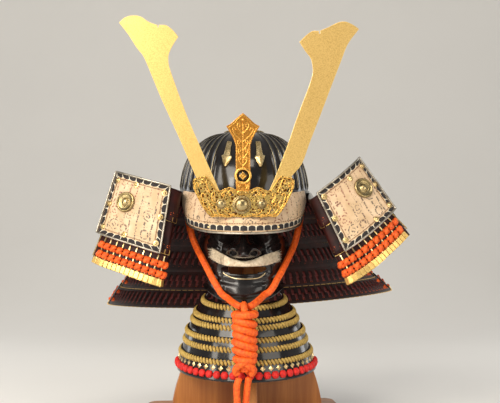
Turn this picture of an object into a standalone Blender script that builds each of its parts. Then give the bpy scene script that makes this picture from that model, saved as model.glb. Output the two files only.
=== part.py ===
"""Samurai helmet with crest, neck guard, face mask and throat guard, on its plain wooden stand.

Metres, +Z up, the face looking along -Y. The floor is z = 0 under the helmet's axis.
Sheet pieces are open surfaces given their wall by Solidify; flat pieces are filled outlines;
round pieces are turned profiles; cords are tubes along smooth routes.
"""
import math

import bpy
from mathutils import Matrix, Vector
from mathutils.bvhtree import BVHTree

# Sizes shared by more than one piece, in metres.
GAP = 0.0003
SHEET = 0.0020
LEATHER = 0.0022

BOWL_HALF_WIDTH = 0.1085
BOWL_HALF_DEPTH = 0.1250
BOWL_RIM_Z = 0.3680
BOWL_HEIGHT = 0.1240
BOWL_FULLNESS = 2.55
RIDGE_HEIGHT = 0.0022
RIDGE_COUNT = 37
FRONT_PLATE_ANGLE = math.radians(30.0)

BAND_TOP_Z = 0.3910
BAND_BOTTOM_Z = 0.3650
BAND_WALL = 0.0016
BAND_LIFT = 0.0008

NECK_LAMES = 5
TURNED_LAMES = 3
LAME_LAP = 0.16
LAME_STEP = 0.0030
GUARD_ROLL = 0.05

CREST_AHEAD = 0.0405
CREST_Y = -(BOWL_HALF_DEPTH + CREST_AHEAD)
CREST_SHEET = 0.0018

CORD_RADIUS = 0.0055
RIM_RADIUS = 0.0016

STAND_X = 0.0050
STAND_TURN = math.radians(6.0)
BOARD = 0.0145
BASE_SIZE = (0.330, 0.230, 0.018)
BASE_CORNER = 0.020


# The collection for the pieces, and their materials.
for old in list(bpy.data.objects):
    bpy.data.objects.remove(old, do_unlink=True)

PARTS = bpy.data.collections.new("samurai_helmet")
bpy.context.scene.collection.children.link(PARTS)

MATERIAL_TABLE = {
    # name: (red, green, blue, roughness, metallic)
    "black_lacquer": (0.012, 0.011, 0.012, 0.18, 0.0),
    "gilt_matte": (0.83, 0.55, 0.18, 0.42, 1.0),
    "gilt_engraved": (0.78, 0.42, 0.09, 0.30, 1.0),
    "aged_brass": (0.42, 0.36, 0.20, 0.34, 1.0),
    "silver_rim": (0.70, 0.68, 0.62, 0.28, 1.0),
    "printed_leather": (0.74, 0.60, 0.42, 0.70, 0.0),
    "cream_fur": (0.86, 0.80, 0.68, 0.90, 0.0),
    "lip_gilt": (0.80, 0.66, 0.36, 0.38, 1.0),
    "orange_cord": (0.80, 0.13, 0.02, 0.80, 0.0),
    "honey_wood": (0.62, 0.34, 0.13, 0.50, 0.0),
}


def material(name):
    found = bpy.data.materials.get(name)
    if found:
        return found
    red, green, blue, rough, metal = MATERIAL_TABLE[name]
    made = bpy.data.materials.new(name)
    made.use_nodes = True
    shader = made.node_tree.nodes["Principled BSDF"]
    shader.inputs["Base Color"].default_value = (red, green, blue, 1.0)
    shader.inputs["Roughness"].default_value = rough
    shader.inputs["Metallic"].default_value = metal
    made.diffuse_color = (red, green, blue, 1.0)
    return made


# Small builders.
def add_object(name, data, slot):
    obj = bpy.data.objects.new(name, data)
    PARTS.objects.link(obj)
    if slot:
        data.materials.append(material(slot))
    return obj


def mesh_object(name, points, faces, slot, smooth=False):
    data = bpy.data.meshes.new(name)
    data.from_pydata([tuple(p) for p in points], [], faces)
    data.validate()
    data.update()
    if smooth:
        data.shade_smooth()
    return add_object(name, data, slot)


def grid_faces(rows, columns, close_columns=False, skip=()):
    faces = []
    span = columns if close_columns else columns - 1
    for row in range(rows - 1):
        for column in range(span):
            if (row, column) in skip:
                continue
            right = (column + 1) % columns
            a = row * columns + column
            b = row * columns + right
            c = (row + 1) * columns + right
            d = (row + 1) * columns + column
            faces.append((a, b, c, d))
    return faces


def sheet_object(name, grid, wall, slot, flip=False, skip=(), smooth=True):
    """An open surface through a grid of points, given a wall on the side away from its normal."""
    columns = len(grid[0])
    points = [p for row in grid for p in row]
    faces = grid_faces(len(grid), columns, skip=skip)
    if flip:
        faces = [tuple(reversed(face)) for face in faces]
    obj = mesh_object(name, points, faces, slot, smooth=smooth)
    thick = obj.modifiers.new("wall", "SOLIDIFY")
    thick.thickness = wall
    thick.offset = -1.0
    thick.use_even_offset = True
    thick.use_quality_normals = True
    return obj


def turned_object(name, profile, steps, slot, closed=False, place=None, squash=1.0):
    """A profile of (radius, height) turned about the vertical axis; squash scales its y."""
    points = [(r, 0.0, z) for r, z in profile]
    edges = [(i, i + 1) for i in range(len(points) - 1)]
    if closed:
        edges.append((len(points) - 1, 0))
    data = bpy.data.meshes.new(name)
    data.from_pydata(points, edges, [])
    obj = add_object(name, data, slot)
    screw = obj.modifiers.new("turn", "SCREW")
    screw.steps = steps
    screw.render_steps = steps
    screw.use_merge_vertices = True
    screw.merge_threshold = 0.00001
    screw.use_smooth_shade = True
    obj.scale = (1.0, squash, 1.0)
    if place is not None:
        obj.matrix_world = place @ Matrix.Diagonal((1.0, squash, 1.0, 1.0))
    return obj


def outline_object(name, outlines, thickness, slot, place):
    """Flat filled outlines (the first the border, the rest holes) given a thickness both ways."""
    data = bpy.data.curves.new(name, "CURVE")
    data.dimensions = "2D"
    data.fill_mode = "BOTH"
    data.extrude = thickness / 2
    for outline in outlines:
        spline = data.splines.new("POLY")
        spline.points.add(len(outline) - 1)
        for point, (x, y) in zip(spline.points, outline):
            point.co = (x, y, 0.0, 1.0)
        spline.use_cyclic_u = True
    obj = add_object(name, data, slot)
    obj.matrix_world = place
    return obj


def tube_object(name, route, radius, slot, cyclic=False, resolution=2):
    data = bpy.data.curves.new(name, "CURVE")
    data.dimensions = "3D"
    data.bevel_depth = radius
    data.bevel_resolution = resolution
    data.use_fill_caps = not cyclic
    spline = data.splines.new("POLY")
    spline.points.add(len(route) - 1)
    for point, place in zip(spline.points, route):
        point.co = (place[0], place[1], place[2], 1.0)
    spline.use_cyclic_u = cyclic
    return add_object(name, data, slot)


def smooth_route(chosen, count):
    """Points evenly spaced along a smooth curve through the chosen points."""
    knots = [Vector(p) for p in chosen]
    ends = [knots[0] * 2 - knots[1]] + knots + [knots[-1] * 2 - knots[-2]]
    fine = []
    for i in range(1, len(ends) - 2):
        p0, p1, p2, p3 = ends[i - 1:i + 3]
        for k in range(24):
            t = k / 24
            fine.append(0.5 * (2 * p1 + (p2 - p0) * t + (2 * p0 - 5 * p1 + 4 * p2 - p3) * t * t
                               + (3 * p1 - p0 - 3 * p2 + p3) * t ** 3))
    fine.append(knots[-1])
    lengths = [0.0]
    for a, b in zip(fine, fine[1:]):
        lengths.append(lengths[-1] + (b - a).length)
    out = []
    j = 0
    for k in range(count):
        want = lengths[-1] * k / (count - 1)
        while j < len(lengths) - 2 and lengths[j + 1] < want:
            j += 1
        step = lengths[j + 1] - lengths[j]
        share = (want - lengths[j]) / step if step else 0.0
        out.append(fine[j].lerp(fine[j + 1], min(1.0, max(0.0, share))))
    return out


def between(table, at):
    """Row of a table (its first column rising or falling steadily) read at a value."""
    first = table[0][0]
    rising = table[-1][0] > first
    rows = table if rising else table[::-1]
    at = min(max(at, rows[0][0]), rows[-1][0])
    for low, high in zip(rows, rows[1:]):
        if at <= high[0]:
            share = (at - low[0]) / (high[0] - low[0])
            return [a + (b - a) * share for a, b in zip(low, high)]
    return list(rows[-1])


def solid_tree(obj):
    graph = bpy.context.evaluated_depsgraph_get()
    graph.update()
    shown = obj.evaluated_get(graph)
    data = bpy.data.meshes.new_from_object(shown, depsgraph=graph)
    data.transform(obj.matrix_world)
    data.calc_loop_triangles()
    tree = BVHTree.FromPolygons([v.co.copy() for v in data.vertices],
                                [tuple(t.vertices) for t in data.loop_triangles])
    bpy.data.meshes.remove(data)
    return tree


def front_y(tree, x, z, start=-0.40):
    """The y where a line along +Y first meets a solid."""
    hit = tree.ray_cast(Vector((x, start, z)), Vector((0, 1, 0)), 1.0)
    return hit[0].y if hit[0] is not None else None


def resting_y(tree, x, z, clear, start=-0.30, end=0.10):
    """The y, coming from the front, where a point is first as near a solid as clear."""
    y = start
    while y < end:
        near = tree.find_nearest(Vector((x, y, z)))
        room = near[3] - clear
        if room < 0.00005:
            return y
        y += max(room * 0.9, 0.00005)
    return end


# Bowl, rim band, crown ornament and arrows.
def bowl_point(angle, height, lift=0.0):
    """A point of the bowl's outer face: angle from the front towards +X, height as a share."""
    ring = (1.0 - min(height, 1.0) ** BOWL_FULLNESS) ** (1.0 / BOWL_FULLNESS)
    x = (BOWL_HALF_WIDTH + lift) * ring * math.sin(angle)
    y = -(BOWL_HALF_DEPTH + lift) * ring * math.cos(angle)
    return Vector((x, y, BOWL_RIM_Z + (BOWL_HEIGHT + lift) * height))


def build_bowl():
    step = (2 * math.pi - 2 * FRONT_PLATE_ANGLE) / (RIDGE_COUNT - 1)
    columns = []
    for i in range(RIDGE_COUNT):
        columns.append((FRONT_PLATE_ANGLE + i * step, 1.0))
        if i < RIDGE_COUNT - 1:
            columns.append((FRONT_PLATE_ANGLE + (i + 0.5) * step, 0.0))
    plate_columns = 5
    for i in range(1, plate_columns):
        columns.append((-FRONT_PLATE_ANGLE + 2 * FRONT_PLATE_ANGLE * i / plate_columns, 0.0))
    outer_rows = [
        # (height share, ridge share)
        (0.0, 0.0), (0.205, 0.0), (0.235, 1.0), (0.50, 1.0), (0.74, 1.0), (0.905, 0.8), (0.978, 0.0),
    ]
    inner_rows = [0.972, 0.88, 0.70, 0.42, 0.0]
    points = []
    for height, ridge in outer_rows:
        for angle, crest in columns:
            points.append(bowl_point(angle, height, RIDGE_HEIGHT * ridge * crest))
    crown = len(points)
    points.append(Vector((0, 0, BOWL_RIM_Z + BOWL_HEIGHT)))
    first_inner = len(points)
    points.append(Vector((0, 0, BOWL_RIM_Z + BOWL_HEIGHT - SHEET)))
    for height in inner_rows:
        for angle, crest in columns:
            points.append(bowl_point(angle, height, -SHEET))
    count = len(columns)
    faces = grid_faces(len(outer_rows), count, close_columns=True)
    last = (len(outer_rows) - 1) * count
    faces += [(last + i, last + (i + 1) % count, crown) for i in range(count)]
    top = first_inner + 1
    faces += [(first_inner, top + (i + 1) % count, top + i) for i in range(count)]
    for row in range(len(inner_rows) - 1):
        for i in range(count):
            j = (i + 1) % count
            a = top + row * count
            faces.append((a + i, a + j, a + count + j, a + count + i))
    low = top + (len(inner_rows) - 1) * count
    faces += [(low + i, low + (i + 1) % count, (i + 1) % count, i) for i in range(count)]
    return mesh_object("bowl", points, faces, "black_lacquer")


def build_bowl_band():
    squash = (BOWL_HALF_DEPTH + BAND_LIFT) / (BOWL_HALF_WIDTH + BAND_LIFT)
    inner = BOWL_HALF_WIDTH + BAND_LIFT
    outer = inner + BAND_WALL
    profile = [(outer, BAND_TOP_Z), (outer, BAND_BOTTOM_Z), (inner, BAND_BOTTOM_Z), (inner, BAND_TOP_Z)]
    return turned_object("bowl_band", profile, 40, "black_lacquer", closed=True, squash=squash)


def build_crown_ornament():
    squash = BOWL_HALF_DEPTH / BOWL_HALF_WIDTH

    def skin(radius, lift):
        ring = radius / BOWL_HALF_WIDTH
        height = (1.0 - ring ** BOWL_FULLNESS) ** (1.0 / BOWL_FULLNESS)
        return BOWL_RIM_Z + BOWL_HEIGHT * height + lift

    seat = 0.0005
    profile = [
        (0.0120, skin(0.012, 0.0062)), (0.0150, skin(0.015, 0.0056)), (0.0185, skin(0.0185, 0.0034)),
        (0.0265, skin(0.0265, 0.0027)), (0.0340, skin(0.034, 0.0020)), (0.0340, skin(0.034, seat)),
        (0.0230, skin(0.023, seat)), (0.0120, skin(0.012, seat)),
    ]
    return turned_object("crown_ornament", profile, 20, "aged_brass", closed=True, squash=squash)


DART_SHAPE = [
    # (share of the length from the stem's top, half-width in metres)
    (0.0, 0.0030), (0.16, 0.0036), (0.36, 0.0042), (0.56, 0.0050), (0.60, 0.0082), (0.72, 0.0066),
    (0.86, 0.0040), (1.0, 0.0007),
]


def build_dart(side, top, tip, tree):
    """An arrow laid on the bowl's front plate, its stem up."""
    wall = 0.0012
    start = Vector((top[0], top[1]))
    end = Vector((tip[0], tip[1]))
    along = (end - start).normalized()
    across = Vector((-along.y, along.x))
    grid = []
    for share, half in DART_SHAPE:
        middle = start.lerp(end, share)
        row = []
        for k in (-1.0, 1.0):
            x = middle.x + across.x * half * k
            z = middle.y + across.y * half * k
            row.append(Vector((x, resting_y(tree, x, z, wall + 2 * GAP), z)))
        grid.append(row)
    return sheet_object("dart_" + side, grid, wall, "aged_brass")


# Peak.
PEAK_EDGE = [
    # (share across, x as a share of the bowl's half-width, ahead of the bowl's front, z) of the free edge
    (0.0, 0.0000, 0.0490, 0.3255),
    (0.25, 0.3041, 0.0410, 0.3262),
    (0.50, 0.5899, 0.0180, 0.3290),
    (0.75, 0.8111, -0.0170, 0.3365),
    (1.0, 0.8986, -0.0610, 0.3500),
]
PEAK_ANGLE = math.radians(61.0)
PEAK_ROOT_Z = 0.3840
PEAK_ROOT_RISE = 0.0070
PEAK_BULGE = 0.0055
PEAK_BULGE_UP = 0.9
PEAK_ROOT_LIFT = BAND_LIFT + BAND_WALL + LEATHER + 2 * GAP


def peak_point(share, out):
    """share -1..1 across, out 0 at the bowl and 1 at the free edge."""
    side = 1.0 if share >= 0 else -1.0
    angle = PEAK_ANGLE * share
    root = Vector(((BOWL_HALF_WIDTH + PEAK_ROOT_LIFT) * math.sin(angle),
                   -(BOWL_HALF_DEPTH + PEAK_ROOT_LIFT) * math.cos(angle),
                   PEAK_ROOT_Z + PEAK_ROOT_RISE * share * share))
    row = between(PEAK_EDGE, abs(share))
    edge = Vector((row[1] * BOWL_HALF_WIDTH * side, -BOWL_HALF_DEPTH - row[2], row[3]))
    place = root.lerp(edge, out)
    outward = Vector((math.sin(angle), -math.cos(angle), PEAK_BULGE_UP)).normalized()
    return place + outward * PEAK_BULGE * math.sin(math.pi * out)


def build_peak():
    shares = [-1 + 2 * i / 18 for i in range(19)]
    grid = [[peak_point(s, out) for s in shares] for out in (0.0, 0.22, 0.48, 0.74, 1.0)]
    return sheet_object("peak", grid, LEATHER, "printed_leather", flip=True)


def build_peak_rim():
    route = []
    for i in range(23):
        share = -1 + 2 * i / 22
        edge = peak_point(share, 1.0)
        inner = peak_point(share, 0.97)
        away = (edge - inner).normalized()
        route.append(edge + away * (RIM_RADIUS + GAP + 0.0004))
    return tube_object("peak_rim", route, RIM_RADIUS, "silver_rim")


# Crest: pierced base, horns, centre plate and bosses.
def crest_place(front):
    """Places an outline (x, height) as a standing sheet whose front face is at y = front."""
    return Matrix.Translation((0.0, front + CREST_SHEET / 2, 0.0)) @ Matrix.Rotation(math.pi / 2, 4, "X")


HORN_SIDE = {
    # side: outline from the outer foot up round the head and down the inner edge (x, z)
    "left": [
        (-0.0585, 0.3700), (-0.0740, 0.4100), (-0.1010, 0.4730), (-0.1300, 0.5370), (-0.1545, 0.5960),
        (-0.1670, 0.6130), (-0.1792, 0.6325), (-0.1945, 0.6523), (-0.1860, 0.6600), (-0.1740, 0.6636),
        (-0.1610, 0.6618), (-0.1480, 0.6535), (-0.1346, 0.6485), (-0.1345, 0.6445), (-0.1327, 0.6452),
        (-0.1320, 0.6488), (-0.1215, 0.6484), (-0.1110, 0.6410), (-0.1021, 0.6304), (-0.1100, 0.6180),
        (-0.1160, 0.6060), (-0.1177, 0.5945), (-0.1135, 0.5750), (-0.0900, 0.5110), (-0.0650, 0.4520),
        (-0.0405, 0.3960), (-0.0340, 0.3790), (-0.0400, 0.3680),
    ],
    "right": [
        (0.0590, 0.3700), (0.0720, 0.4075), (0.0905, 0.4310), (0.1030, 0.4640), (0.1200, 0.5080),
        (0.1390, 0.5580), (0.1516, 0.5905), (0.1627, 0.6185), (0.1803, 0.6425), (0.1710, 0.6490),
        (0.1590, 0.6540), (0.1466, 0.6523), (0.1330, 0.6455), (0.1195, 0.6398), (0.1200, 0.6355),
        (0.1180, 0.6350), (0.1172, 0.6395), (0.1067, 0.6389), (0.0960, 0.6310), (0.0871, 0.6221),
        (0.0970, 0.6070), (0.1040, 0.5980), (0.1070, 0.5881), (0.1065, 0.5660), (0.0850, 0.5080),
        (0.0640, 0.4480), (0.0480, 0.4080), (0.0350, 0.3790), (0.0400, 0.3680),
    ],
}


def build_horn(side):
    front = CREST_Y + CREST_SHEET + GAP
    return outline_object("horn_" + side, [HORN_SIDE[side]], CREST_SHEET, "gilt_matte", crest_place(front))


def leaf(x, z, length, width, turn, count):
    """A pointed leaf-shaped hole: its middle, length, width and the way it leans in degrees."""
    lean = math.radians(turn)
    pts = []
    for i in range(count):
        a = 2 * math.pi * i / count
        u = math.cos(a) * length / 2
        v = math.sin(a) * width / 2 * (0.75 + 0.25 * math.cos(a))
        pts.append((x + u * math.cos(lean) - v * math.sin(lean), z + u * math.sin(lean) + v * math.cos(lean)))
    return pts


CREST_BASE_HALF = [
    # (x, z) of the border from the bottom middle to the top middle; mirrored for the other half
    (0.0000, 0.3478), (0.0130, 0.3492), (0.0260, 0.3478), (0.0400, 0.3492), (0.0490, 0.3480),
    (0.0560, 0.3530), (0.0640, 0.3640), (0.0720, 0.3790), (0.0790, 0.3950), (0.0785, 0.4080),
    (0.0700, 0.4105), (0.0590, 0.4130), (0.0510, 0.4020), (0.0430, 0.3900), (0.0350, 0.3905),
    (0.0290, 0.3935), (0.0210, 0.3955), (0.0130, 0.3920), (0.0060, 0.3900),
]
CREST_HOLES = [
    # (x, z, length, width, lean); mirrored
    (0.0185, 0.3845, 0.0075, 0.0036, 35), (0.0155, 0.3560, 0.0080, 0.0034, -10),
    (0.0440, 0.3590, 0.0078, 0.0036, 30), (0.0455, 0.3770, 0.0085, 0.0036, 60),
    (0.0560, 0.3740, 0.0085, 0.0036, 55), (0.0585, 0.3905, 0.0085, 0.0038, 60),
    (0.0690, 0.3900, 0.0085, 0.0036, 65), (0.0660, 0.4025, 0.0070, 0.0034, 20),
]


def build_crest_base():
    border = [(x, z) for x, z in CREST_BASE_HALF]
    border += [(-x, z) for x, z in reversed(CREST_BASE_HALF) if x > 0]
    holes = []
    for x, z, length, width, lean in CREST_HOLES:
        holes.append(leaf(x, z, length, width, lean, 6))
        holes.append(leaf(-x, z, length, width, 180 - lean, 6))
    return outline_object("crest_base", [border] + holes, CREST_SHEET, "gilt_engraved", crest_place(CREST_Y))


CREST_PLATE_HALF = [
    # (x, z) from the foot up to the apex
    (0.0100, 0.3903), (0.0112, 0.4050), (0.0112, 0.4600), (0.0125, 0.4640), (0.0165, 0.4740),
    (0.0262, 0.4905), (0.0180, 0.4950), (0.0090, 0.5035), (0.0000, 0.5111),
]
CREST_PLATE_X = -0.0010
CREST_PLATE_FRONT = CREST_Y - CREST_SHEET - GAP


def build_crest_plate():
    border = [(CREST_PLATE_X + x, z) for x, z in CREST_PLATE_HALF]
    border += [(CREST_PLATE_X - x, z) for x, z in reversed(CREST_PLATE_HALF) if x > 0]
    place = crest_place(CREST_PLATE_FRONT)
    return outline_object("crest_plate", [border], CREST_SHEET, "gilt_engraved", place)


def facing_front(x, z, y):
    """A place whose local +Z looks along -Y."""
    return Matrix.Translation((x, y, z)) @ Matrix.Rotation(math.pi / 2, 4, "X")


def build_crest_ring():
    profile = [(0.0128, 0.0024), (0.0136, 0.0003), (0.0090, 0.0003), (0.0098, 0.0024), (0.0113, 0.0030)]
    return turned_object("crest_ring", profile, 22, "gilt_engraved", closed=True,
                         place=facing_front(CREST_PLATE_X, 0.4130, CREST_PLATE_FRONT))


def build_crest_clip():
    outline = [(-0.0075, 0.3834), (0.0075, 0.3834), (0.0090, 0.3868), (0.0070, 0.3899), (-0.0070, 0.3899),
               (-0.0090, 0.3868)]
    return outline_object("crest_clip", [outline], 0.0040, "gilt_engraved",
                          Matrix.Translation((CREST_PLATE_X, CREST_Y - GAP - 0.0020, 0.0))
                          @ Matrix.Rotation(math.pi / 2, 4, "X"))


BOSSES = [
    # (name, x, z, washer radius, dome radius, height, steps)
    ("boss_centre", -0.0028, 0.3680, 0.0148, 0.0104, 0.0085, 20),
    ("boss_left", -0.0349, 0.3690, 0.0082, 0.0066, 0.0060, 14),
    ("boss_right", 0.0283, 0.3690, 0.0082, 0.0066, 0.0060, 14),
]


def build_boss(name, x, z, washer, dome, height, steps):
    profile = [(0.0, height), (dome * 0.55, height * 0.86), (dome * 0.90, height * 0.52), (dome, 0.0024),
               (washer * 0.94, 0.0022), (washer, 0.0012), (washer * 0.96, 0.0), (0.0, 0.0)]
    return turned_object(name, profile, steps, "aged_brass", place=facing_front(x, z, CREST_Y - GAP))


# Neck guard and its turned-back ends.
GUARD_WRAP = [
    # (lame edge, middle x, beyond the bowl's half-width, beyond its half-depth, z at the sides,
    # z at the back)
    (0.0, 0.0000, 0.0036, 0.0037, 0.3880, 0.3850),
    (3.0, 0.0030, 0.0745, 0.0680, 0.2700, 0.2400),
    (5.0, 0.0095, 0.1190, 0.1100, 0.2235, 0.1680),
]
TURNBACK = {
    # rows from the outer corner in to the fold; for the top edge, then for the lower edge of lame 3:
    # (beyond the bowl's side, behind the bowl's front, z)
    "left": [
        (0.0985, 0.0550, 0.4195, 0.1435, 0.0400, 0.2760),
        (0.0815, 0.0400, 0.4150, 0.1225, 0.0250, 0.2680),
        (0.0425, 0.0200, 0.4045, 0.0770, 0.0030, 0.2545),
        (0.0135, 0.0140, 0.3970, 0.0395, -0.0040, 0.2420),
        (-0.0025, 0.0160, 0.3915, 0.0215, -0.0020, 0.2370),
        (-0.0085, 0.0240, 0.3890, 0.0170, 0.0080, 0.2355),
        (-0.0075, 0.0400, 0.3880, 0.0225, 0.0270, 0.2400),
        (-0.0035, 0.0690, 0.3880, 0.0405, 0.0550, 0.2480),
    ],
    "right": [
        (0.0785, 0.0550, 0.4415, 0.1645, 0.0400, 0.3210),
        (0.0685, 0.0400, 0.4320, 0.1455, 0.0250, 0.3030),
        (0.0415, 0.0200, 0.4090, 0.1095, 0.0030, 0.2740),
        (0.0165, 0.0140, 0.3895, 0.0795, -0.0040, 0.2535),
        (0.0020, 0.0160, 0.3785, 0.0595, -0.0020, 0.2420),
        (-0.0035, 0.0240, 0.3760, 0.0515, 0.0080, 0.2385),
        (-0.0040, 0.0400, 0.3790, 0.0515, 0.0270, 0.2440),
        (-0.0015, 0.0690, 0.3850, 0.0565, 0.0550, 0.2580),
    ],
}
WRAP_SIDE = math.radians(100.0)
WRAP_STATIONS = 21


def wrap_point(turn, edge):
    """The master surface round the sides and back: turn from the back towards +X."""
    row = between(GUARD_WRAP, edge)
    x = row[1] + (BOWL_HALF_WIDTH + row[2]) * math.sin(turn)
    y = (BOWL_HALF_DEPTH + row[3]) * math.cos(turn)
    back = 0.5 + 0.5 * math.cos(turn)
    height = row[4] + (row[5] - row[4]) * back ** 1.5
    return Vector((x, y, height + GUARD_ROLL * x * edge / NECK_LAMES))


def beside_bowl(sign, beyond, behind, z):
    """A point told from the bowl: how far beyond its side and behind its front, and its height."""
    return Vector((sign * (BOWL_HALF_WIDTH + beyond), behind - BOWL_HALF_DEPTH, z))


def master_stations():
    """Pairs of points, at the top edge and the lower edge of lame 3, from left corner round to right."""
    def front(side, sign):
        table = TURNBACK[side]
        joins = []
        for column in (0, 3):
            chosen = [beside_bowl(sign, *row[column:column + 3]) for row in table]
            edge = 0.0 if column == 0 else 3.0
            chosen.append(wrap_point(sign * WRAP_SIDE, edge))
            joins.append(smooth_route(chosen, 40)[:-1])
        picks = [0, 4, 8, 12, 15, 18, 20, 22, 24, 26, 29, 33, 36]
        return [(joins[0][i], joins[1][i]) for i in picks]

    left = front("left", -1.0)
    right = front("right", 1.0)
    middle = []
    for i in range(WRAP_STATIONS):
        turn = -WRAP_SIDE + 2 * WRAP_SIDE * i / (WRAP_STATIONS - 1)
        middle.append((wrap_point(turn, 0.0), wrap_point(turn, 3.0)))
    return left + middle + right[::-1], len(left)


STATIONS, LEFT_COUNT = master_stations()


def station_point(index, edge):
    top, low = STATIONS[index]
    if edge <= 3.0:
        return top.lerp(low, edge / 3.0)
    turn = -WRAP_SIDE + 2 * WRAP_SIDE * (index - LEFT_COUNT) / (WRAP_STATIONS - 1)
    return wrap_point(turn, edge)


def outward_at(index, edge):
    """Unit normal of the master surface, away from the head along the wrap."""
    low = max(index - 1, 0)
    high = min(index + 1, len(STATIONS) - 1)
    along = station_point(high, min(edge, 3.0)) - station_point(low, min(edge, 3.0))
    down = station_point(index, min(edge, 3.0)) - station_point(index, min(edge, 3.0) - 0.5)
    return along.cross(down).normalized()


def lifted(index, edge, lift):
    return station_point(index, edge) + outward_at(index, edge) * lift


def build_neck_lame(number):
    lift = (number - 1) * LAME_STEP + SHEET
    top = number - 1 - LAME_LAP if number > 1 else 0.0
    edges = [top, float(number)]
    if number == 4:
        edges = [top, 3.0, 4.0]
    if number <= TURNED_LAMES:
        indices = range(len(STATIONS))
    else:
        indices = range(LEFT_COUNT, LEFT_COUNT + WRAP_STATIONS)
    grid = [[lifted(i, edge, lift) for i in indices] for edge in edges]
    return sheet_object("neck_lame_%d" % number, grid, SHEET, "black_lacquer")


PANEL_TOP = -0.03
PANEL_LOW = 2.03
PANEL_SEAT = GAP + 0.0004
PANEL_RIM_SEAT = PANEL_SEAT + LEATHER + GAP + 0.0002
DISC_SEAT = PANEL_SEAT + LEATHER + 0.0008
PANEL_STATIONS = {"left": 10, "right": 9}


def panel_indices(side):
    if side == "left":
        return list(range(0, PANEL_STATIONS[side]))
    last = len(STATIONS) - 1
    return list(range(last, last - PANEL_STATIONS[side], -1))


def build_panel(side):
    lift = -PANEL_SEAT
    grid = [[lifted(i, edge, lift) for i in panel_indices(side)] for edge in (PANEL_TOP, 1.0, PANEL_LOW)]
    return sheet_object("turnback_panel_" + side, grid, LEATHER, "printed_leather", flip=side == "right")


def build_panel_rim(side):
    lift = -PANEL_RIM_SEAT - RIM_RADIUS
    indices = panel_indices(side)
    low_row = [lifted(i, PANEL_LOW, lift) for i in indices]
    top_row = [lifted(i, PANEL_TOP, lift) for i in indices]
    outer = [lifted(indices[0], e, lift) for e in (0.6, 1.3)]
    inner = [lifted(indices[-1], e, lift) for e in (1.3, 0.6)]
    route = top_row[::-1] + outer + low_row + inner
    return tube_object("turnback_rim_" + side, route, RIM_RADIUS, "silver_rim", cyclic=True)


DISC_SPOT = {
    # side: (share between stations, lame edge)
    "left": (1.33, 0.82),
    "right": (1.18, 0.79),
}


def build_disc(side):
    share, edge = DISC_SPOT[side]
    indices = panel_indices(side)
    low = int(share)
    rest = share - low
    lift = -DISC_SEAT
    place = lifted(indices[low], edge, lift).lerp(lifted(indices[low + 1], edge, lift), rest)
    normal = -outward_at(indices[low], edge).lerp(outward_at(indices[low + 1], edge), rest)
    turn = Vector((0, 0, 1)).rotation_difference(normal).to_matrix().to_4x4()
    profile = [(0.0, 0.0050), (0.0050, 0.0042), (0.0080, 0.0022), (0.0118, 0.0020), (0.0150, 0.0032),
               (0.0168, 0.0006), (0.0164, 0.0), (0.0, 0.0)]
    seat = Matrix.Translation(place) @ turn
    return turned_object("turnback_disc_" + side, profile, 16, "aged_brass", place=seat)


# Face mask, moustache and lip line.
MASK_ROWS = [
    # (z at the middle, z at the cheek edge, half-width, front y, cheek edge y, nose depth, nose half-width)
    (0.3300, 0.3120, 0.0740, -0.1080, -0.0180, 0.0110, 0.0120),
    (0.3190, 0.3060, 0.0752, -0.1100, -0.0190, 0.0190, 0.0130),
    (0.3080, 0.2990, 0.0760, -0.1120, -0.0200, 0.0270, 0.0160),
    (0.2985, 0.2930, 0.0763, -0.1140, -0.0205, 0.0350, 0.0210),
    (0.2905, 0.2880, 0.0762, -0.1155, -0.0210, 0.0390, 0.0235),
    (0.2850, 0.2850, 0.0760, -0.1160, -0.0212, 0.0330, 0.0200),
    (0.2810, 0.2820, 0.0757, -0.1165, -0.0214, 0.0080, 0.0160),
    (0.2735, 0.2780, 0.0752, -0.1170, -0.0216, 0.0000, 0.0160),
    (0.2660, 0.2735, 0.0745, -0.1150, -0.0218, 0.0000, 0.0160),
    (0.2565, 0.2685, 0.0735, -0.1150, -0.0220, 0.0000, 0.0160),
    (0.2490, 0.2640, 0.0720, -0.1180, -0.0230, 0.0000, 0.0160),
    (0.2410, 0.2585, 0.0700, -0.1165, -0.0240, 0.0000, 0.0160),
    (0.2320, 0.2530, 0.0680, -0.1225, -0.0250, 0.0000, 0.0160),
    (0.2230, 0.2470, 0.0650, -0.1240, -0.0260, 0.0000, 0.0160),
    (0.2150, 0.2400, 0.0640, -0.1190, -0.0270, 0.0000, 0.0160),
    (0.2065, 0.2340, 0.0692, -0.1153, -0.0275, 0.0000, 0.0160),
]
MASK_COLUMNS = [-1.0, -0.96, -0.86, -0.70, -0.54, -0.42, -0.32, -0.24, -0.14, 0.0,
                0.14, 0.24, 0.32, 0.42, 0.54, 0.70, 0.86, 0.96, 1.0]
MASK_WALL = 0.0022
MOUTH_ROWS = (7, 8)
MOUTH_COLUMNS = range(5, 13)
MASK_CHEEK = [
    # (share across, fullness added to the front)
    (0.0, 0.0), (0.42, 0.0), (0.54, 0.0035), (0.70, 0.0040), (0.86, 0.0), (1.0, 0.0),
]


def mask_point(row, share):
    z_mid, z_side, half, front, cheek, nose, nose_half = row
    x = half * share
    across = abs(share)
    y = cheek + (front - cheek) * math.sqrt(max(1.0 - across ** 2.3, 0.0))
    bump = max(0.0, 1.0 - (abs(x) / (nose_half * 1.35)) ** 2) ** 1.2
    y -= nose * bump
    y -= between(MASK_CHEEK, across)[1]
    z = z_mid + (z_side - z_mid) * across ** 2
    return Vector((x, y, z))


def build_mask():
    grid = [[mask_point(row, share) for share in MASK_COLUMNS] for row in MASK_ROWS]
    skip = {(row, column) for row in MOUTH_ROWS for column in MOUTH_COLUMNS}
    return sheet_object("face_mask", grid, MASK_WALL, "black_lacquer", flip=True, skip=skip)


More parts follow.
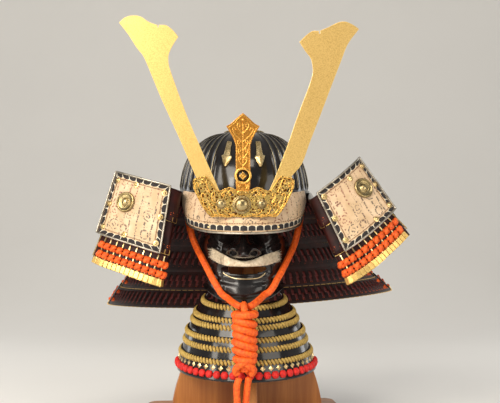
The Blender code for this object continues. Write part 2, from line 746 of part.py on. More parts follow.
MOUSTACHE = [
    # (x, z at the middle, half-height, depth)
    (-0.0575, 0.2890, 0.0014, 0.0020), (-0.0500, 0.2850, 0.0045, 0.0045), (-0.0400, 0.2800, 0.0070, 0.0065),
    (-0.0280, 0.2755, 0.0080, 0.0080), (-0.0150, 0.2732, 0.0062, 0.0080), (0.0, 0.2715, 0.0045, 0.0070),
    (0.0150, 0.2732, 0.0062, 0.0080), (0.0280, 0.2755, 0.0080, 0.0080), (0.0400, 0.2790, 0.0070, 0.0065),
    (0.0500, 0.2825, 0.0045, 0.0045), (0.0585, 0.2850, 0.0014, 0.0020),
]


def build_moustache(tree):
    """A pad of fur lying on the mask's upper lip, thickest either side of the nose."""
    ring = 8
    points = []
    for x, z, half, depth in MOUSTACHE:
        back = min(front_y(tree, x + side, z + half * k) or 0.0
                   for side in (-0.003, 0.0, 0.003) for k in (-1.1, -0.5, 0.0, 0.5, 1.1))
        for i in range(ring):
            a = 2 * math.pi * i / ring
            points.append(Vector((x, back - GAP - depth * 0.5 * (1 - math.cos(a)), z + half * math.sin(a))))
    count = len(MOUSTACHE)
    faces = []
    for s in range(count - 1):
        for i in range(ring):
            j = (i + 1) % ring
            faces.append((s * ring + i, s * ring + j, (s + 1) * ring + j, (s + 1) * ring + i))
    faces.append(tuple(range(ring - 1, -1, -1)))
    faces.append(tuple((count - 1) * ring + i for i in range(ring)))
    return mesh_object("moustache", points, faces, "cream_fur", smooth=True)


LIP_ROUTE = [
    # (x, z) seen from the front
    (-0.0340, 0.2590), (-0.0280, 0.2550), (-0.0200, 0.2515), (-0.0100, 0.2495), (0.0, 0.2490),
    (0.0120, 0.2492), (0.0230, 0.2505), (0.0300, 0.2540), (0.0350, 0.2585),
]


def build_lip(tree):
    radius = 0.0013
    route = [(x, resting_y(tree, x, z, radius + 0.0006), z) for x, z in LIP_ROUTE]
    return tube_object("lip_line", smooth_route(route, 13), radius, "lip_gilt")


# Throat guard.
THROAT_WRAP = [
    # (z, half-width, half-depth)
    (0.0887, 0.1080, 0.1110), (0.1230, 0.1000, 0.1030), (0.1570, 0.0905, 0.0940), (0.1870, 0.0775, 0.0830),
    (0.2090, 0.0640, 0.0740),
]
THROAT_LAMES = [
    # (top z, lower z)
    (0.2080, 0.1800), (0.1870, 0.1500), (0.1570, 0.1160), (0.1230, 0.0887),
]
THROAT_X = 0.0040
THROAT_Y = -0.0370
THROAT_RISE = 0.0100
THROAT_TURN = math.radians(108.0)


def throat_point(turn, z, lift):
    row = between(THROAT_WRAP, z)
    x = (row[1] + lift) * math.sin(turn)
    y = -(row[2] + lift) * math.cos(turn)
    rise = THROAT_RISE * (1 - math.cos(turn))
    return Vector((THROAT_X * (1 - (z - 0.0887) / 0.12) + x, THROAT_Y + y, z + rise))


def build_throat_lame(number):
    top, low = THROAT_LAMES[number - 1]
    lift = (number - 1) * (SHEET + GAP * 2)
    turns = [-THROAT_TURN + 2 * THROAT_TURN * i / 20 for i in range(21)]
    bends = [row[0] for row in THROAT_WRAP if low + 0.002 < row[0] < top - 0.002]
    levels = [top] + sorted(bends, reverse=True) + [low]
    grid = [[throat_point(turn, z, lift) for turn in turns] for z in levels]
    return sheet_object("throat_lame_%d" % number, grid, SHEET, "black_lacquer", flip=True)


# Chin cord.
KNOT_X = 0.0018
KNOT_Y = -0.1692
KNOT_TURNS = [
    # (z, radius across): the wrapped turns from the top down
    (0.2025, 0.0), (0.2022, 0.0150), (0.1995, 0.0200), (0.1945, 0.0208), (0.1900, 0.0170),
    (0.1850, 0.0188), (0.1790, 0.0165), (0.1725, 0.0190), (0.1665, 0.0160), (0.1590, 0.0182),
    (0.1520, 0.0155), (0.1450, 0.0175), (0.1380, 0.0148), (0.1310, 0.0168), (0.1240, 0.0140),
    (0.1160, 0.0180), (0.1080, 0.0205), (0.1020, 0.0170), (0.1010, 0.0),
]
CORD_PATHS = {
    # side: (x, y or None to lie on the mask, z) from the bowl down to the knot
    "left": [
        (-0.0953, -0.0360, 0.3760), (-0.0940, -0.0400, 0.3500), (-0.0880, -0.0500, 0.3220),
        (-0.0790, -0.0600, 0.2990), (-0.0653, None, 0.2757), (-0.0444, None, 0.2395), (-0.0260, None, 0.2190),
        (-0.0125, -0.1590, 0.2120), (-0.0026, -0.1675, 0.2079),
    ],
    "right": [
        (0.0953, -0.0360, 0.3760), (0.0942, -0.0400, 0.3500), (0.0893, -0.0480, 0.3240),
        (0.0830, -0.0540, 0.3015), (0.0701, None, 0.2756), (0.0534, None, 0.2470), (0.0338, None, 0.2248),
        (0.0165, -0.1580, 0.2125), (0.0062, -0.1675, 0.2079),
    ],
}
TAIL_PATHS = {
    # side: (x, y, z) from the knot down to the free end
    "left": [
        (-0.0062, -0.1725, 0.0993), (-0.0105, -0.1745, 0.0850), (-0.0095, -0.1735, 0.0560),
        (-0.0080, -0.1715, 0.0330),
    ],
    "right": [
        (0.0085, -0.1690, 0.1000), (0.0060, -0.1670, 0.0850), (0.0035, -0.1655, 0.0560),
        (0.0035, -0.1650, 0.0300),
    ],
}


def build_strand(side, tree):
    """One side of the chin cord, kept just off the mask all the way."""
    clear = CORD_RADIUS + 0.0009
    chosen = []
    for x, y, z in CORD_PATHS[side]:
        if y is None:
            y = resting_y(tree, x, z, clear)
        chosen.append((x, y, z))
    route = []
    for place in smooth_route(chosen, 19):
        near, normal, index, room = tree.find_nearest(place)
        if room < clear:
            place = near + (place - near).normalized() * clear
        route.append(place)
    return tube_object("chin_cord_" + side, route, CORD_RADIUS, "orange_cord")


def build_knot():
    profile = [(r, z) for z, r in KNOT_TURNS]
    place = Matrix.Translation((KNOT_X, KNOT_Y, 0.0))
    return turned_object("chin_knot", profile, 12, "orange_cord", place=place, squash=0.85)


def build_tail(side):
    return tube_object("cord_tail_" + side, smooth_route(TAIL_PATHS[side], 8), CORD_RADIUS, "orange_cord")


# Stand.
WING_OUTLINE = [
    # (half-width of the board across, half-width of the board fore and aft, z)
    (0.1285, 0.0960, 0.0), (0.1270, 0.0950, 0.030), (0.1210, 0.0900, 0.060), (0.1120, 0.0830, 0.088),
    (0.1000, 0.0730, 0.118), (0.0820, 0.0600, 0.146), (0.0600, 0.0460, 0.172), (0.0400, 0.0360, 0.196),
    (0.0330, 0.0330, 0.220), (0.0320, 0.0320, 0.300), (0.0330, 0.0330, 0.400), (0.0360, 0.0360, 0.440),
    (0.0430, 0.0430, 0.4680), (0.0360, 0.0360, 0.4800), (0.0240, 0.0240, 0.4845),
]
LAP_Z = 0.250
STAND_TOP_Z = 0.4885


def stand_matrix():
    return Matrix.Translation((STAND_X, 0.0, 0.0)) @ Matrix.Rotation(STAND_TURN, 4, "Z")


def board_outline(column, slot_at_top):
    floor = BASE_SIZE[2] + GAP
    slot = BOARD / 2 + GAP
    right = [(row[column], max(row[2], floor)) for row in WING_OUTLINE]
    left = [(-x, z) for x, z in right]
    if slot_at_top:
        prong = STAND_TOP_Z - 0.0018
        return right + [(slot, prong), (slot, LAP_Z - GAP), (-slot, LAP_Z - GAP), (-slot, prong)] + left[::-1]
    lap_slot = [(-slot, floor), (-slot, LAP_Z), (slot, LAP_Z), (slot, floor)]
    return right + [(0.0, STAND_TOP_Z)] + left[::-1] + lap_slot


def build_stand():
    width, depth, height = BASE_SIZE
    corner = []
    for cx, cy, start in ((1, 1, 0), (-1, 1, 90), (-1, -1, 180), (1, -1, 270)):
        for k in range(5):
            a = math.radians(start + 22.5 * k)
            corner.append((cx * (width / 2 - BASE_CORNER) + BASE_CORNER * math.cos(a),
                           cy * (depth / 2 - BASE_CORNER) + BASE_CORNER * math.sin(a)))
    outline_object("stand_base", [corner], height, "honey_wood",
                   stand_matrix() @ Matrix.Translation((0.0, 0.0, height / 2)))
    upright = Matrix.Rotation(math.pi / 2, 4, "X")
    across = stand_matrix() @ upright
    outline_object("stand_board_across", [board_outline(0, False)], BOARD, "honey_wood", across)
    fore_aft = Matrix.Rotation(math.pi / 2, 4, "Z") @ upright
    along = stand_matrix() @ fore_aft
    outline_object("stand_board_fore_aft", [board_outline(1, True)], BOARD, "honey_wood", along)


# Assembly.
bowl_tree = solid_tree(build_bowl())
build_bowl_band()
build_crown_ornament()
build_dart("left", (-0.0233, 0.4705), (-0.0298, 0.4295), bowl_tree)
build_dart("right", (0.0230, 0.4705), (0.0272, 0.4290), bowl_tree)
build_peak()
build_peak_rim()
for horn in HORN_SIDE:
    build_horn(horn)
build_crest_base()
build_crest_plate()
build_crest_ring()
build_crest_clip()
for boss in BOSSES:
    build_boss(*boss)
for lame in range(1, NECK_LAMES + 1):
    build_neck_lame(lame)
for panel in ("left", "right"):
    build_panel(panel)
    build_panel_rim(panel)
    build_disc(panel)
mask_tree = solid_tree(build_mask())
build_moustache(mask_tree)
build_lip(mask_tree)
for lame in range(1, len(THROAT_LAMES) + 1):
    build_throat_lame(lame)
for strand in CORD_PATHS:
    build_strand(strand, mask_tree)
build_knot()
for tail in TAIL_PATHS:
    build_tail(tail)
build_stand()
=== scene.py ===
# %% [markdown]
# # A samurai helmet, its face mask and its stand
#
# The helmet is an assembly: an iron bowl with standing ridges, a leather-covered peak, a gilt
# crest with two tall horns, a neck guard of five lames whose front ends turn back, a lacquered
# half mask with a fur moustache, a laced throat guard and a braided chin cord. The solids come
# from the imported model. This script gives each of them its fine surface, its lacing and its finish.

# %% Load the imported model
import math
import random

import bmesh
import bpy
from mathutils import Matrix, Vector
from mathutils import noise as field
from mathutils.bvhtree import BVHTree


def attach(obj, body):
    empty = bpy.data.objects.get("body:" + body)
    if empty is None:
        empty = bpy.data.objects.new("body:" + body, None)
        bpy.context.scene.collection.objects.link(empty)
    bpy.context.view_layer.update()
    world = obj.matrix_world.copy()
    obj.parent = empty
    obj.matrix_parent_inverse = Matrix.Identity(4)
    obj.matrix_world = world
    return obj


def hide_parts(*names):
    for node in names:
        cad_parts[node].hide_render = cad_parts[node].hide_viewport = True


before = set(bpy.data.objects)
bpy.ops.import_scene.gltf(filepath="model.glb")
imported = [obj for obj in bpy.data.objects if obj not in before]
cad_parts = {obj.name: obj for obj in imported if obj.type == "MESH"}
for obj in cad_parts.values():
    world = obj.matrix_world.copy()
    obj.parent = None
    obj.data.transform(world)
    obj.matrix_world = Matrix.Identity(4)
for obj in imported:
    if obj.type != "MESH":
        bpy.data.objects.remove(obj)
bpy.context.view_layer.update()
print("solids:", len(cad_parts))

# %% [markdown]
# ## Camera, light and floor
#
# The object was seen from about two metres away, level with the peak, through a short telephoto
# lens. A long lens keeps the horns and the neck guard in proportion. Large soft lights suit
# lacquer, because a polished black surface shows nothing but what it reflects: one broad key on
# the left, a fill on the right, a strip behind each side to draw the edges, and a pale room.

# %% Camera
CAMERA_PLACE = (0.01, -2.007, 0.373)
CAMERA_LENS = 85.0
SCENE = bpy.context.scene
STANDING = Matrix.Rotation(math.pi / 2, 4, "X")


def linked(name, data):
    """A new object in the scene, holding this data."""
    obj = bpy.data.objects.new(name, data)
    SCENE.collection.objects.link(obj)
    return obj


camera_data = bpy.data.cameras.new("camera")
camera_data.lens = CAMERA_LENS
camera_data.sensor_width = 36.0
camera = linked("camera", camera_data)
camera.matrix_world = Matrix.Translation(CAMERA_PLACE) @ STANDING
bpy.context.scene.camera = camera
print("camera", CAMERA_PLACE, "lens", CAMERA_LENS)


# %% Lights
def soft_light(name, place, target, width, height, power, colour=(1.0, 1.0, 1.0)):
    data = bpy.data.lights.new(name, "AREA")
    data.shape = "RECTANGLE"
    data.size, data.size_y = width, height
    data.energy, data.color = power, colour
    turn = (Vector(target) - Vector(place)).to_track_quat("-Z", "Y").to_matrix().to_4x4()
    linked(name, data).matrix_world = Matrix.Translation(place) @ turn


MIDDLE = (0.0, 0.0, 0.34)
WARM = (1.0, 0.93, 0.82)
soft_light("key_light", (-1.35, -1.8, 1.55), MIDDLE, 1.5, 1.2, 52.0, WARM)
soft_light("fill_light", (1.75, -1.6, 0.85), MIDDLE, 1.4, 1.2, 17.0, WARM)
soft_light("crest_light", (0.1, -1.3, 1.9), (0.0, -0.15, 0.5), 1.0, 0.5, 12.0, WARM)
soft_light("low_light", (-0.85, -1.85, 0.72), (0.0, -0.12, 0.28), 0.32, 1.1, 10.0, WARM)
soft_light("side_light", (-1.55, -1.05, 0.42), (0.0, -0.12, 0.26), 0.35, 0.6, 6.0, WARM)
soft_light("left_edge_light", (-1.3, 0.9, 0.8), MIDDLE, 0.4, 1.2, 5.0)
soft_light("right_edge_light", (1.3, 0.9, 0.8), MIDDLE, 0.4, 1.2, 5.0)

world = bpy.data.worlds.new("pale_room")
world.use_nodes = True
room = world.node_tree.nodes["Background"]
room.inputs["Color"].default_value = (0.8, 0.79, 0.77, 1.0)
room.inputs["Strength"].default_value = 0.5
SCENE.world = world
SCENE.view_settings.view_transform = "Standard"
SCENE.view_settings.look = "Medium Contrast"
SCENE.view_settings.exposure = -0.15

# %% [markdown]
# ## Helpers for materials
#
# Every finish is a Principled shader with a few procedural nodes in front of it. Values that are
# the same all over are set on the shader itself, and nodes only carry what varies. The helpers
# below add a node, link it and keep the recipes short.


# %% Material helpers
def add_node(tree, kind, inputs=(), **settings):
    """A node with its settings; each input is a value or another node's output."""
    node = tree.nodes.new(kind)
    for key, value in settings.items():
        setattr(node, key, value)
    for key, value in dict(inputs).items():
        if isinstance(value, bpy.types.NodeSocket):
            tree.links.new(value, node.inputs[key])
        else:
            node.inputs[key].default_value = value
    return node


class Recipe:
    """A material under construction: its shader, and short calls that add and link nodes."""

    def __init__(self, name, colour, roughness, metallic=0.0, **sockets):
        self.material = bpy.data.materials.new(name)
        self.material.use_nodes = True
        self.tree = self.material.node_tree
        self.shader = self.tree.nodes["Principled BSDF"]
        self.set("Base Color", (*colour, 1.0))
        self.set("Roughness", roughness)
        self.set("Metallic", metallic)
        for socket, value in sockets.items():
            self.set(socket.replace("_", " "), value)

    def set(self, socket, value):
        self.shader.inputs[socket].default_value = value

    def add(self, kind, inputs=(), **settings):
        return add_node(self.tree, kind, inputs, **settings)

    def place(self, uv=False, scale=(1.0, 1.0, 1.0)):
        """Object coordinates, or the piece's UV map, scaled."""
        source = self.add("ShaderNodeTexCoord").outputs["UV" if uv else "Object"]
        return self.add("ShaderNodeMapping", {"Vector": source, "Scale": scale}).outputs[0]

    def wavering(self, at, scale, reach):
        """Coordinates pushed about by a noise, so that what is drawn on them wavers."""
        push = self.add("ShaderNodeTexNoise", {"Vector": at, "Scale": scale}).outputs["Color"]
        push = self.add("ShaderNodeVectorMath", {0: push, "Scale": reach}, operation="SCALE").outputs[0]
        return self.add("ShaderNodeVectorMath", {0: at, 1: push}, operation="ADD").outputs[0]

    def noise(self, scale, detail=3.0, rough=0.5, at=None, warp=0.0):
        inputs = {"Vector": at or self.place(), "Scale": scale, "Detail": detail, "Roughness": rough,
                  "Distortion": warp}
        return self.add("ShaderNodeTexNoise", inputs).outputs["Fac"]

    def cells(self, scale, at=None, feature="F1", jitter=1.0):
        inputs = {"Vector": at or self.place(), "Scale": scale, "Randomness": jitter}
        return self.add("ShaderNodeTexVoronoi", inputs, feature=feature).outputs["Distance"]

    def bands(self, scale, at, direction, warp):
        return self.add("ShaderNodeTexWave", {"Vector": at, "Scale": scale, "Distortion": warp},
                        wave_type="BANDS", bands_direction=direction).outputs["Fac"]

    def spread(self, value, low, high, out_low=0.0, out_high=1.0):
        """The value stretched from one range to another, and held inside it."""
        made = self.add("ShaderNodeMapRange", {"Value": value, "From Min": low, "From Max": high,
                                               "To Min": out_low, "To Max": out_high})
        return made.outputs[0]

    def maths(self, operation, a, b=0.0):
        return self.add("ShaderNodeMath", {0: a, 1: b}, operation=operation).outputs[0]

    def times(self, a, b):
        return self.maths("MULTIPLY", a, b)

    def tint(self, factor, low, high):
        """Colours mixed by a factor."""
        ends = [c if isinstance(c, bpy.types.NodeSocket) else (*c, 1.0) for c in (low, high)]
        return self.add("ShaderNodeMix", {0: factor, 6: ends[0], 7: ends[1]}, data_type="RGBA").outputs[2]

    def feed(self, socket, value):
        self.tree.links.new(value, self.shader.inputs[socket])

    def bump(self, height, depth, strength=1.0, under=None):
        """A bump of a real depth in metres; under is another bump to add to."""
        inputs = {"Height": height, "Distance": depth, "Strength": strength}
        if under is not None:
            inputs["Normal"] = under
        made = self.add("ShaderNodeBump", inputs).outputs[0]
        self.feed("Normal", made)
        return made


print("material helpers ready")

# %% Floor
FLOOR_HALF = 6.0
SWEEP_START = 1.2
SWEEP_RADIUS = 1.6
SWEEP_TOP = 4.0
SWEEP_STEPS = 16


def swept_floor(name):
    """A plain paper sweep: flat under the object, curving up behind it, with no line between."""
    profile = [(-FLOOR_HALF, 0.0), (SWEEP_START, 0.0)]
    for k in range(1, SWEEP_STEPS + 1):
        a = math.pi / 2 * k / SWEEP_STEPS
        profile.append((SWEEP_START + SWEEP_RADIUS * math.sin(a), SWEEP_RADIUS * (1 - math.cos(a))))
    profile.append((SWEEP_START + SWEEP_RADIUS, SWEEP_TOP))
    points = [(x, y, z) for y, z in profile for x in (-FLOOR_HALF, FLOOR_HALF)]
    faces = [(2 * i, 2 * i + 1, 2 * i + 3, 2 * i + 2) for i in range(len(profile) - 1)]
    data = bpy.data.meshes.new(name)
    data.from_pydata(points, [], faces)
    data.shade_smooth()
    return linked(name, data)


pale = Recipe("pale_floor", (0.8, 0.79, 0.77), 0.65)
pale.feed("Base Color", pale.tint(pale.noise(3.0), (0.78, 0.77, 0.75), (0.82, 0.81, 0.79)))
floor = swept_floor("floor")
floor.data.materials.append(pale.material)
print("floor", 2 * FLOOR_HALF, "m wide")

# %% [markdown]
# ## The finishes
#
# Black lacquer (urushi) is a deep gloss over a faintly rippled ground, with fine dust. The horns are
# fire gilt with a grained, matte skin; the crest base and the centre plate are engraved gilt copper;
# the bosses, arrows and eyelets are darker brass. The leather is pale deerskin with a stencilled
# print. Silk shows as braid; its fine threads are drawn on each piece's object coordinates.


# %% Metal and lacquer finishes
def make_lacquer(name, colour, warm, gloss=0.1):
    r = Recipe(name, colour, gloss, Coat_Weight=0.3, Coat_Roughness=0.06, IOR=1.52, Specular_IOR_Level=0.32)
    cloud = r.noise(38.0, 4.0)
    r.feed("Base Color", r.tint(r.spread(cloud, 0.42, 0.72), colour, warm))
    dust = r.noise(1400.0, 2.0)
    r.feed("Roughness", r.spread(r.times(cloud, dust), 0.12, 0.4, gloss, gloss + 0.17))
    under = r.bump(r.noise(60.0, 2.0), 0.0006, 0.22)
    r.bump(r.noise(900.0, 2.0), 0.00008, 0.35, under)
    return r.material


def make_gilt(name, colour, shade, roughness, grain, depth, cloudy=0.25):
    """Gilding with a struck grain: small cells that catch the light apart."""
    r = Recipe(name, colour, roughness, 1.0)
    pits = r.cells(grain, feature="SMOOTH_F1")
    cloud = r.spread(r.noise(14.0, 5.0, 0.6), 0.3, 0.7, 1.0 - cloudy, 1.0)
    r.feed("Base Color", r.tint(r.times(cloud, r.spread(pits, 0.15, 0.75, 1.0, 0.45)), shade, colour))
    r.feed("Roughness", r.spread(r.noise(600.0, 3.0), 0.3, 0.7, roughness - 0.05, roughness + 0.08))
    under = r.bump(pits, depth, 0.55)
    r.bump(r.noise(grain * 2.2, 3.0), depth * 0.5, 0.4, under)
    return r.material


def make_brass(name, colour, patina, roughness=0.3):
    r = Recipe(name, colour, roughness, 1.0)
    cloud = r.noise(70.0, 4.0, 0.5)
    r.feed("Base Color", r.tint(r.spread(cloud, 0.3, 0.6), patina, colour))
    r.feed("Roughness", r.spread(r.noise(420.0, 3.0), 0.3, 0.7, roughness - 0.08, roughness + 0.16))
    r.bump(r.noise(1500.0, 3.0), 0.00006, 0.5)
    return r.material


LACQUER = make_lacquer("black_lacquer", (0.0055, 0.0048, 0.005), (0.014, 0.01, 0.009))
MASK_LACQUER = make_lacquer("mask_lacquer", (0.006, 0.005, 0.005), (0.016, 0.01, 0.009), 0.13)
RED_LACQUER = make_lacquer("red_lacquer", (0.11, 0.01, 0.007), (0.06, 0.006, 0.005), 0.26)
GILT_MATTE = make_gilt("gilt_matte", (1.0, 0.7, 0.26), (0.6, 0.32, 0.05), 0.36, 620.0, 0.00016, 0.08)
GILT_ENGRAVED = make_gilt("gilt_engraved", (0.98, 0.6, 0.15), (0.5, 0.22, 0.04), 0.24, 700.0, 0.00012, 0.35)
GILT_DEEP = make_gilt("gilt_deep", (0.92, 0.42, 0.07), (0.55, 0.2, 0.03), 0.26, 700.0, 0.00006, 0.3)
BRASS = make_brass("aged_brass", (0.44, 0.34, 0.17), (0.22, 0.165, 0.075), 0.24)
BRIGHT_BRASS = make_brass("bright_brass", (0.86, 0.66, 0.34), (0.48, 0.32, 0.12), 0.26)
SILVER = make_brass("silver_rim", (0.5, 0.46, 0.39), (0.26, 0.23, 0.18), 0.3)
print("metal and lacquer finishes:", len(bpy.data.materials))


# %% Silk, fur, leather and wood finishes
def make_silk(name, colour, deep, along=2600.0, sheen=0.5):
    """Braided or laced silk: fine threads across the braid, painted shade darkening the hollows between them,
    and a soft sheen.
    """
    r = Recipe(name, colour, 0.62, Sheen_Weight=sheen, Sheen_Roughness=0.4)
    r.set("Sheen Tint", (*[min(1.0, c * 1.3 + 0.08) for c in colour], 1.0))
    thread = r.bands(along, r.place(), "DIAGONAL", 1.5)
    cloud = r.noise(240.0, 3.0)
    # The colour falls towards deep in the hollows between threads: painted shade, over a random cloud of
    # tone.
    hollow = r.spread(r.times(r.spread(thread, 0.0, 1.0, 0.6, 1.0), cloud), 0.16, 0.55)
    r.feed("Base Color", r.tint(hollow, deep, colour))
    r.bump(r.maths("ADD", thread, r.noise(2400.0, 2.0)), 0.00012, 0.5)
    return r.material


def make_wood(name, grain_scale, fine_scale):
    """Plain straight-grained softwood under a thin oil finish; the small scale is the grain's way."""
    r = Recipe(name, (0.6, 0.33, 0.13), 0.42, Coat_Weight=0.12, Coat_Roughness=0.3)
    rings = r.noise(1.0, 4.0, at=r.place(scale=grain_scale), warp=0.6)
    fine = r.noise(1.0, at=r.place(scale=fine_scale))
    broad = r.tint(r.spread(rings, 0.34, 0.66), (0.27, 0.08, 0.015), (0.52, 0.205, 0.046))
    r.feed("Base Color", r.tint(r.spread(fine, 0.38, 0.6, 0.0, 0.45), broad, (0.34, 0.112, 0.022)))
    r.feed("Roughness", r.spread(fine, 0.3, 0.7, 0.34, 0.54))
    r.bump(r.maths("ADD", fine, rings), 0.00015, 0.45)
    return r.material


# The second colour given to make_silk is the painted shade in the hollows between threads.
CORD_ORANGE = make_silk("cord_orange", (0.95, 0.15, 0.003), (0.5, 0.028, 0.001), 2600.0, 0.08)
LACING_ORANGE = make_silk("lacing_orange", (0.93, 0.15, 0.008), (0.45, 0.028, 0.002), 2600.0, 0.08)
LACING_OCHRE = make_silk("lacing_ochre", (0.6, 0.41, 0.1), (0.18, 0.1, 0.018), 2200.0, 0.15)
# The inner laces are the orange silk coloured dark red as painted shade.
LACING_SHADED_RED = make_silk("lacing_dark_red", (0.17, 0.008, 0.006), (0.05, 0.003, 0.002), 2600.0, 0.2)
POMPON_RED = make_silk("pompon_red", (0.8, 0.012, 0.006), (0.28, 0.004, 0.003), 3200.0, 0.1)
FUR = make_silk("cream_fur", (0.88, 0.76, 0.58), (0.5, 0.37, 0.23), 1800.0, 0.3)
WOOD = make_wood("honey_wood", (46.0, 46.0, 2.2), (900.0, 900.0, 24.0))
WOOD_FLAT = make_wood("honey_wood_flat", (2.2, 46.0, 46.0), (24.0, 900.0, 900.0))
print("silk, fur and wood finishes:", len(bpy.data.materials))

# %% [markdown]
# ## Helpers for shapes
#
# Almost everything on this helmet is one of four things: a smooth route, a tube swept along a
# route, a sheet with two faces, or a grid closed round on itself. These helpers make them as plain
# meshes at the origin, with the place in the mesh itself and a UV map measured in metres. Tables
# of places are written in tenths of a millimetre, because whole numbers are easier to read.

# %% Route and table helpers
CURVE_STEPS = 24


def metres(table):
    """A table written in tenths of a millimetre, turned into metres."""
    if isinstance(table, dict):
        return {key: metres(value) for key, value in table.items()}
    if isinstance(table, (list, tuple)):
        return type(table)(metres(value) for value in table)
    return table / 10000 if isinstance(table, int) else table


def angles(count):
    """Even angles round a full turn."""
    return [2 * math.pi * k / count for k in range(count)]


def running_lengths(places):
    """The distance from the first point of a broken line to each of its points."""
    lengths = [0.0]
    for a, b in zip(places, places[1:]):
        lengths.append(lengths[-1] + (b - a).length)
    return lengths


def route_length(places):
    return running_lengths(places)[-1]


def found_at(lengths, wants):
    """Where distances fall on a line with these running lengths: (stretch, share of it) for each."""
    out, j = [], 0
    for want in wants:
        while j < len(lengths) - 2 and lengths[j + 1] < want:
            j += 1
        step = lengths[j + 1] - lengths[j]
        out.append((j, (want - lengths[j]) / step if step else 0.0))
    return out


def even_points(places, count):
    """Points at even steps along a broken line."""
    lengths = running_lengths(places)
    found = found_at(lengths, [lengths[-1] * k / (count - 1) for k in range(count)])
    return [places[j].lerp(places[j + 1], min(1.0, max(0.0, share))) for j, share in found]


def smooth_route(chosen, count):
    """Points evenly spaced along a smooth curve through the chosen points."""
    knots = [Vector(p) for p in chosen]
    ends = [knots[0] * 2 - knots[1]] + knots + [knots[-1] * 2 - knots[-2]]
    fine = []
    for i in range(1, len(ends) - 2):
        p0, p1, p2, p3 = ends[i - 1:i + 3]
        for k in range(CURVE_STEPS):
            t = k / CURVE_STEPS
            fine.append(0.5 * (2 * p1 + (p2 - p0) * t + (2 * p0 - 5 * p1 + 4 * p2 - p3) * t * t
                               + (3 * p1 - p0 - 3 * p2 + p3) * t ** 3))
    return even_points(fine + [knots[-1]], count)


def rising(table, at):
    """The table with its first column rising, and the value held inside that column."""
    rows = table if table[-1][0] > table[0][0] else table[::-1]
    return rows, min(max(at, rows[0][0]), rows[-1][0])

def between(table, at):
    """Row of a table (its first column rising or falling steadily) read at a value."""
    rows, at = rising(table, at)
    low, high = next(pair for pair in zip(rows, rows[1:]) if at <= pair[1][0])
    share = (at - low[0]) / (high[0] - low[0])
    return [a + (b - a) * share for a, b in zip(low, high)]


def softly(table, at):
    """Like between, but easing through the rows so that no row shows as a crease."""
    rows, at = rising(table, at)
    i = next(i for i in range(len(rows) - 1) if at <= rows[i + 1][0])
    before, low = rows[max(i - 1, 0)], rows[i]
    high, after = rows[i + 1], rows[min(i + 2, len(rows) - 1)]
    width = high[0] - low[0]
    t = (at - low[0]) / width
    out = []
    for c in range(len(low)):
        slope_in = (high[c] - before[c]) / (high[0] - before[0])
        slope_out = (after[c] - low[c]) / (after[0] - low[0])
        out.append((2 * t ** 3 - 3 * t * t + 1) * low[c] + (t ** 3 - 2 * t * t + t) * width * slope_in
                   + (3 * t * t - 2 * t ** 3) * high[c] + (t ** 3 - t * t) * width * slope_out)
    return out


print("route and table helpers ready")


# %% Shape helpers
NO_MOVE = Matrix.Identity(4)


def mesh_piece(name, points, faces, material, uvs=None, smooth=True, index=None):
    """A plain mesh at the origin; material may be a list; uvs has a pair for each corner of each face."""
    data = bpy.data.meshes.new(name)
    data.from_pydata([tuple(p) for p in points], [], faces)
    if uvs is not None:
        data.uv_layers.new(name="UVMap").data.foreach_set("uv", [value for pair in uvs for value in pair])
    for slot in material if isinstance(material, list) else [material]:
        data.materials.append(slot)
    if index is not None:
        data.polygons.foreach_set("material_index", index)
    data.polygons.foreach_set("use_smooth", [smooth] * len(faces))
    data.update()
    return linked(name, data)


def outward(obj, weld=0.0):
    """Turns every closed shell of a piece so that its faces look out, with close points welded first."""
    work = bmesh.new()
    work.from_mesh(obj.data)
    if weld:
        bmesh.ops.remove_doubles(work, verts=work.verts, dist=weld)
    bmesh.ops.recalc_face_normals(work, faces=work.faces)
    work.to_mesh(obj.data)
    work.free()
    obj.data.update()
    return obj


def ring_faces(rings, sides, first=0):
    """Four-sided faces between each ring of points and the next, from the point numbered first."""
    starts = [first + i * sides for i in range(rings)]
    return [(low + k, low + (k + 1) % sides, high + (k + 1) % sides, high + k)
            for low, high in zip(starts, starts[1:]) for k in range(sides)]


def sheet_piece(name, grid, wall, material, inner=None, skip=()):
    """A sheet of a real thickness through a grid of points.

    The grid's rows and columns are the outer face; the wall goes to the side away from its
    normal, and every open border is closed. UV runs in metres along the columns and rows.
    """
    rows, columns = len(grid), len(grid[0])
    points = [p for row in grid for p in row]
    points += [p - n * wall for row, line in zip(grid, grid_normals(grid)) for p, n in zip(row, line)]
    across = running_lengths(grid[rows // 2])
    down = running_lengths([row[columns // 2] for row in grid])
    back = rows * columns
    faces, uvs, index = [], [], []

    def face(corners, slot=0):
        faces.append(corners)
        index.append(slot)
        uvs.extend((across[i % back % columns], down[i % back // columns]) for i in corners)

    kept = {(r, c) for r in range(rows - 1) for c in range(columns - 1) if (r, c) not in skip}
    for r, c in sorted(kept):
        a = r * columns + c
        b, d, e = a + 1, a + columns, a + columns + 1
        face((a, b, e, d))
        face((back + a, back + d, back + e, back + b), 1)
        for beside, p, q in (((r - 1, c), b, a), ((r + 1, c), d, e), ((r, c - 1), a, d), ((r, c + 1), e, b)):
            if beside not in kept:
                face((p, q, back + q, back + p))
    return mesh_piece(name, points, faces, [material, inner or material], uvs, index=index)


def grid_normals(grid):
    """The surface normal at each point of a grid: along its rows crossed with down its columns."""
    rows, columns = len(grid), len(grid[0])
    out = []
    for r in range(rows):
        line = []
        for c in range(columns):
            along = grid[r][min(c + 1, columns - 1)] - grid[r][max(c - 1, 0)]
            down = grid[min(r + 1, rows - 1)][c] - grid[max(r - 1, 0)][c]
            line.append(along.cross(down).normalized())
        out.append(line)
    return out


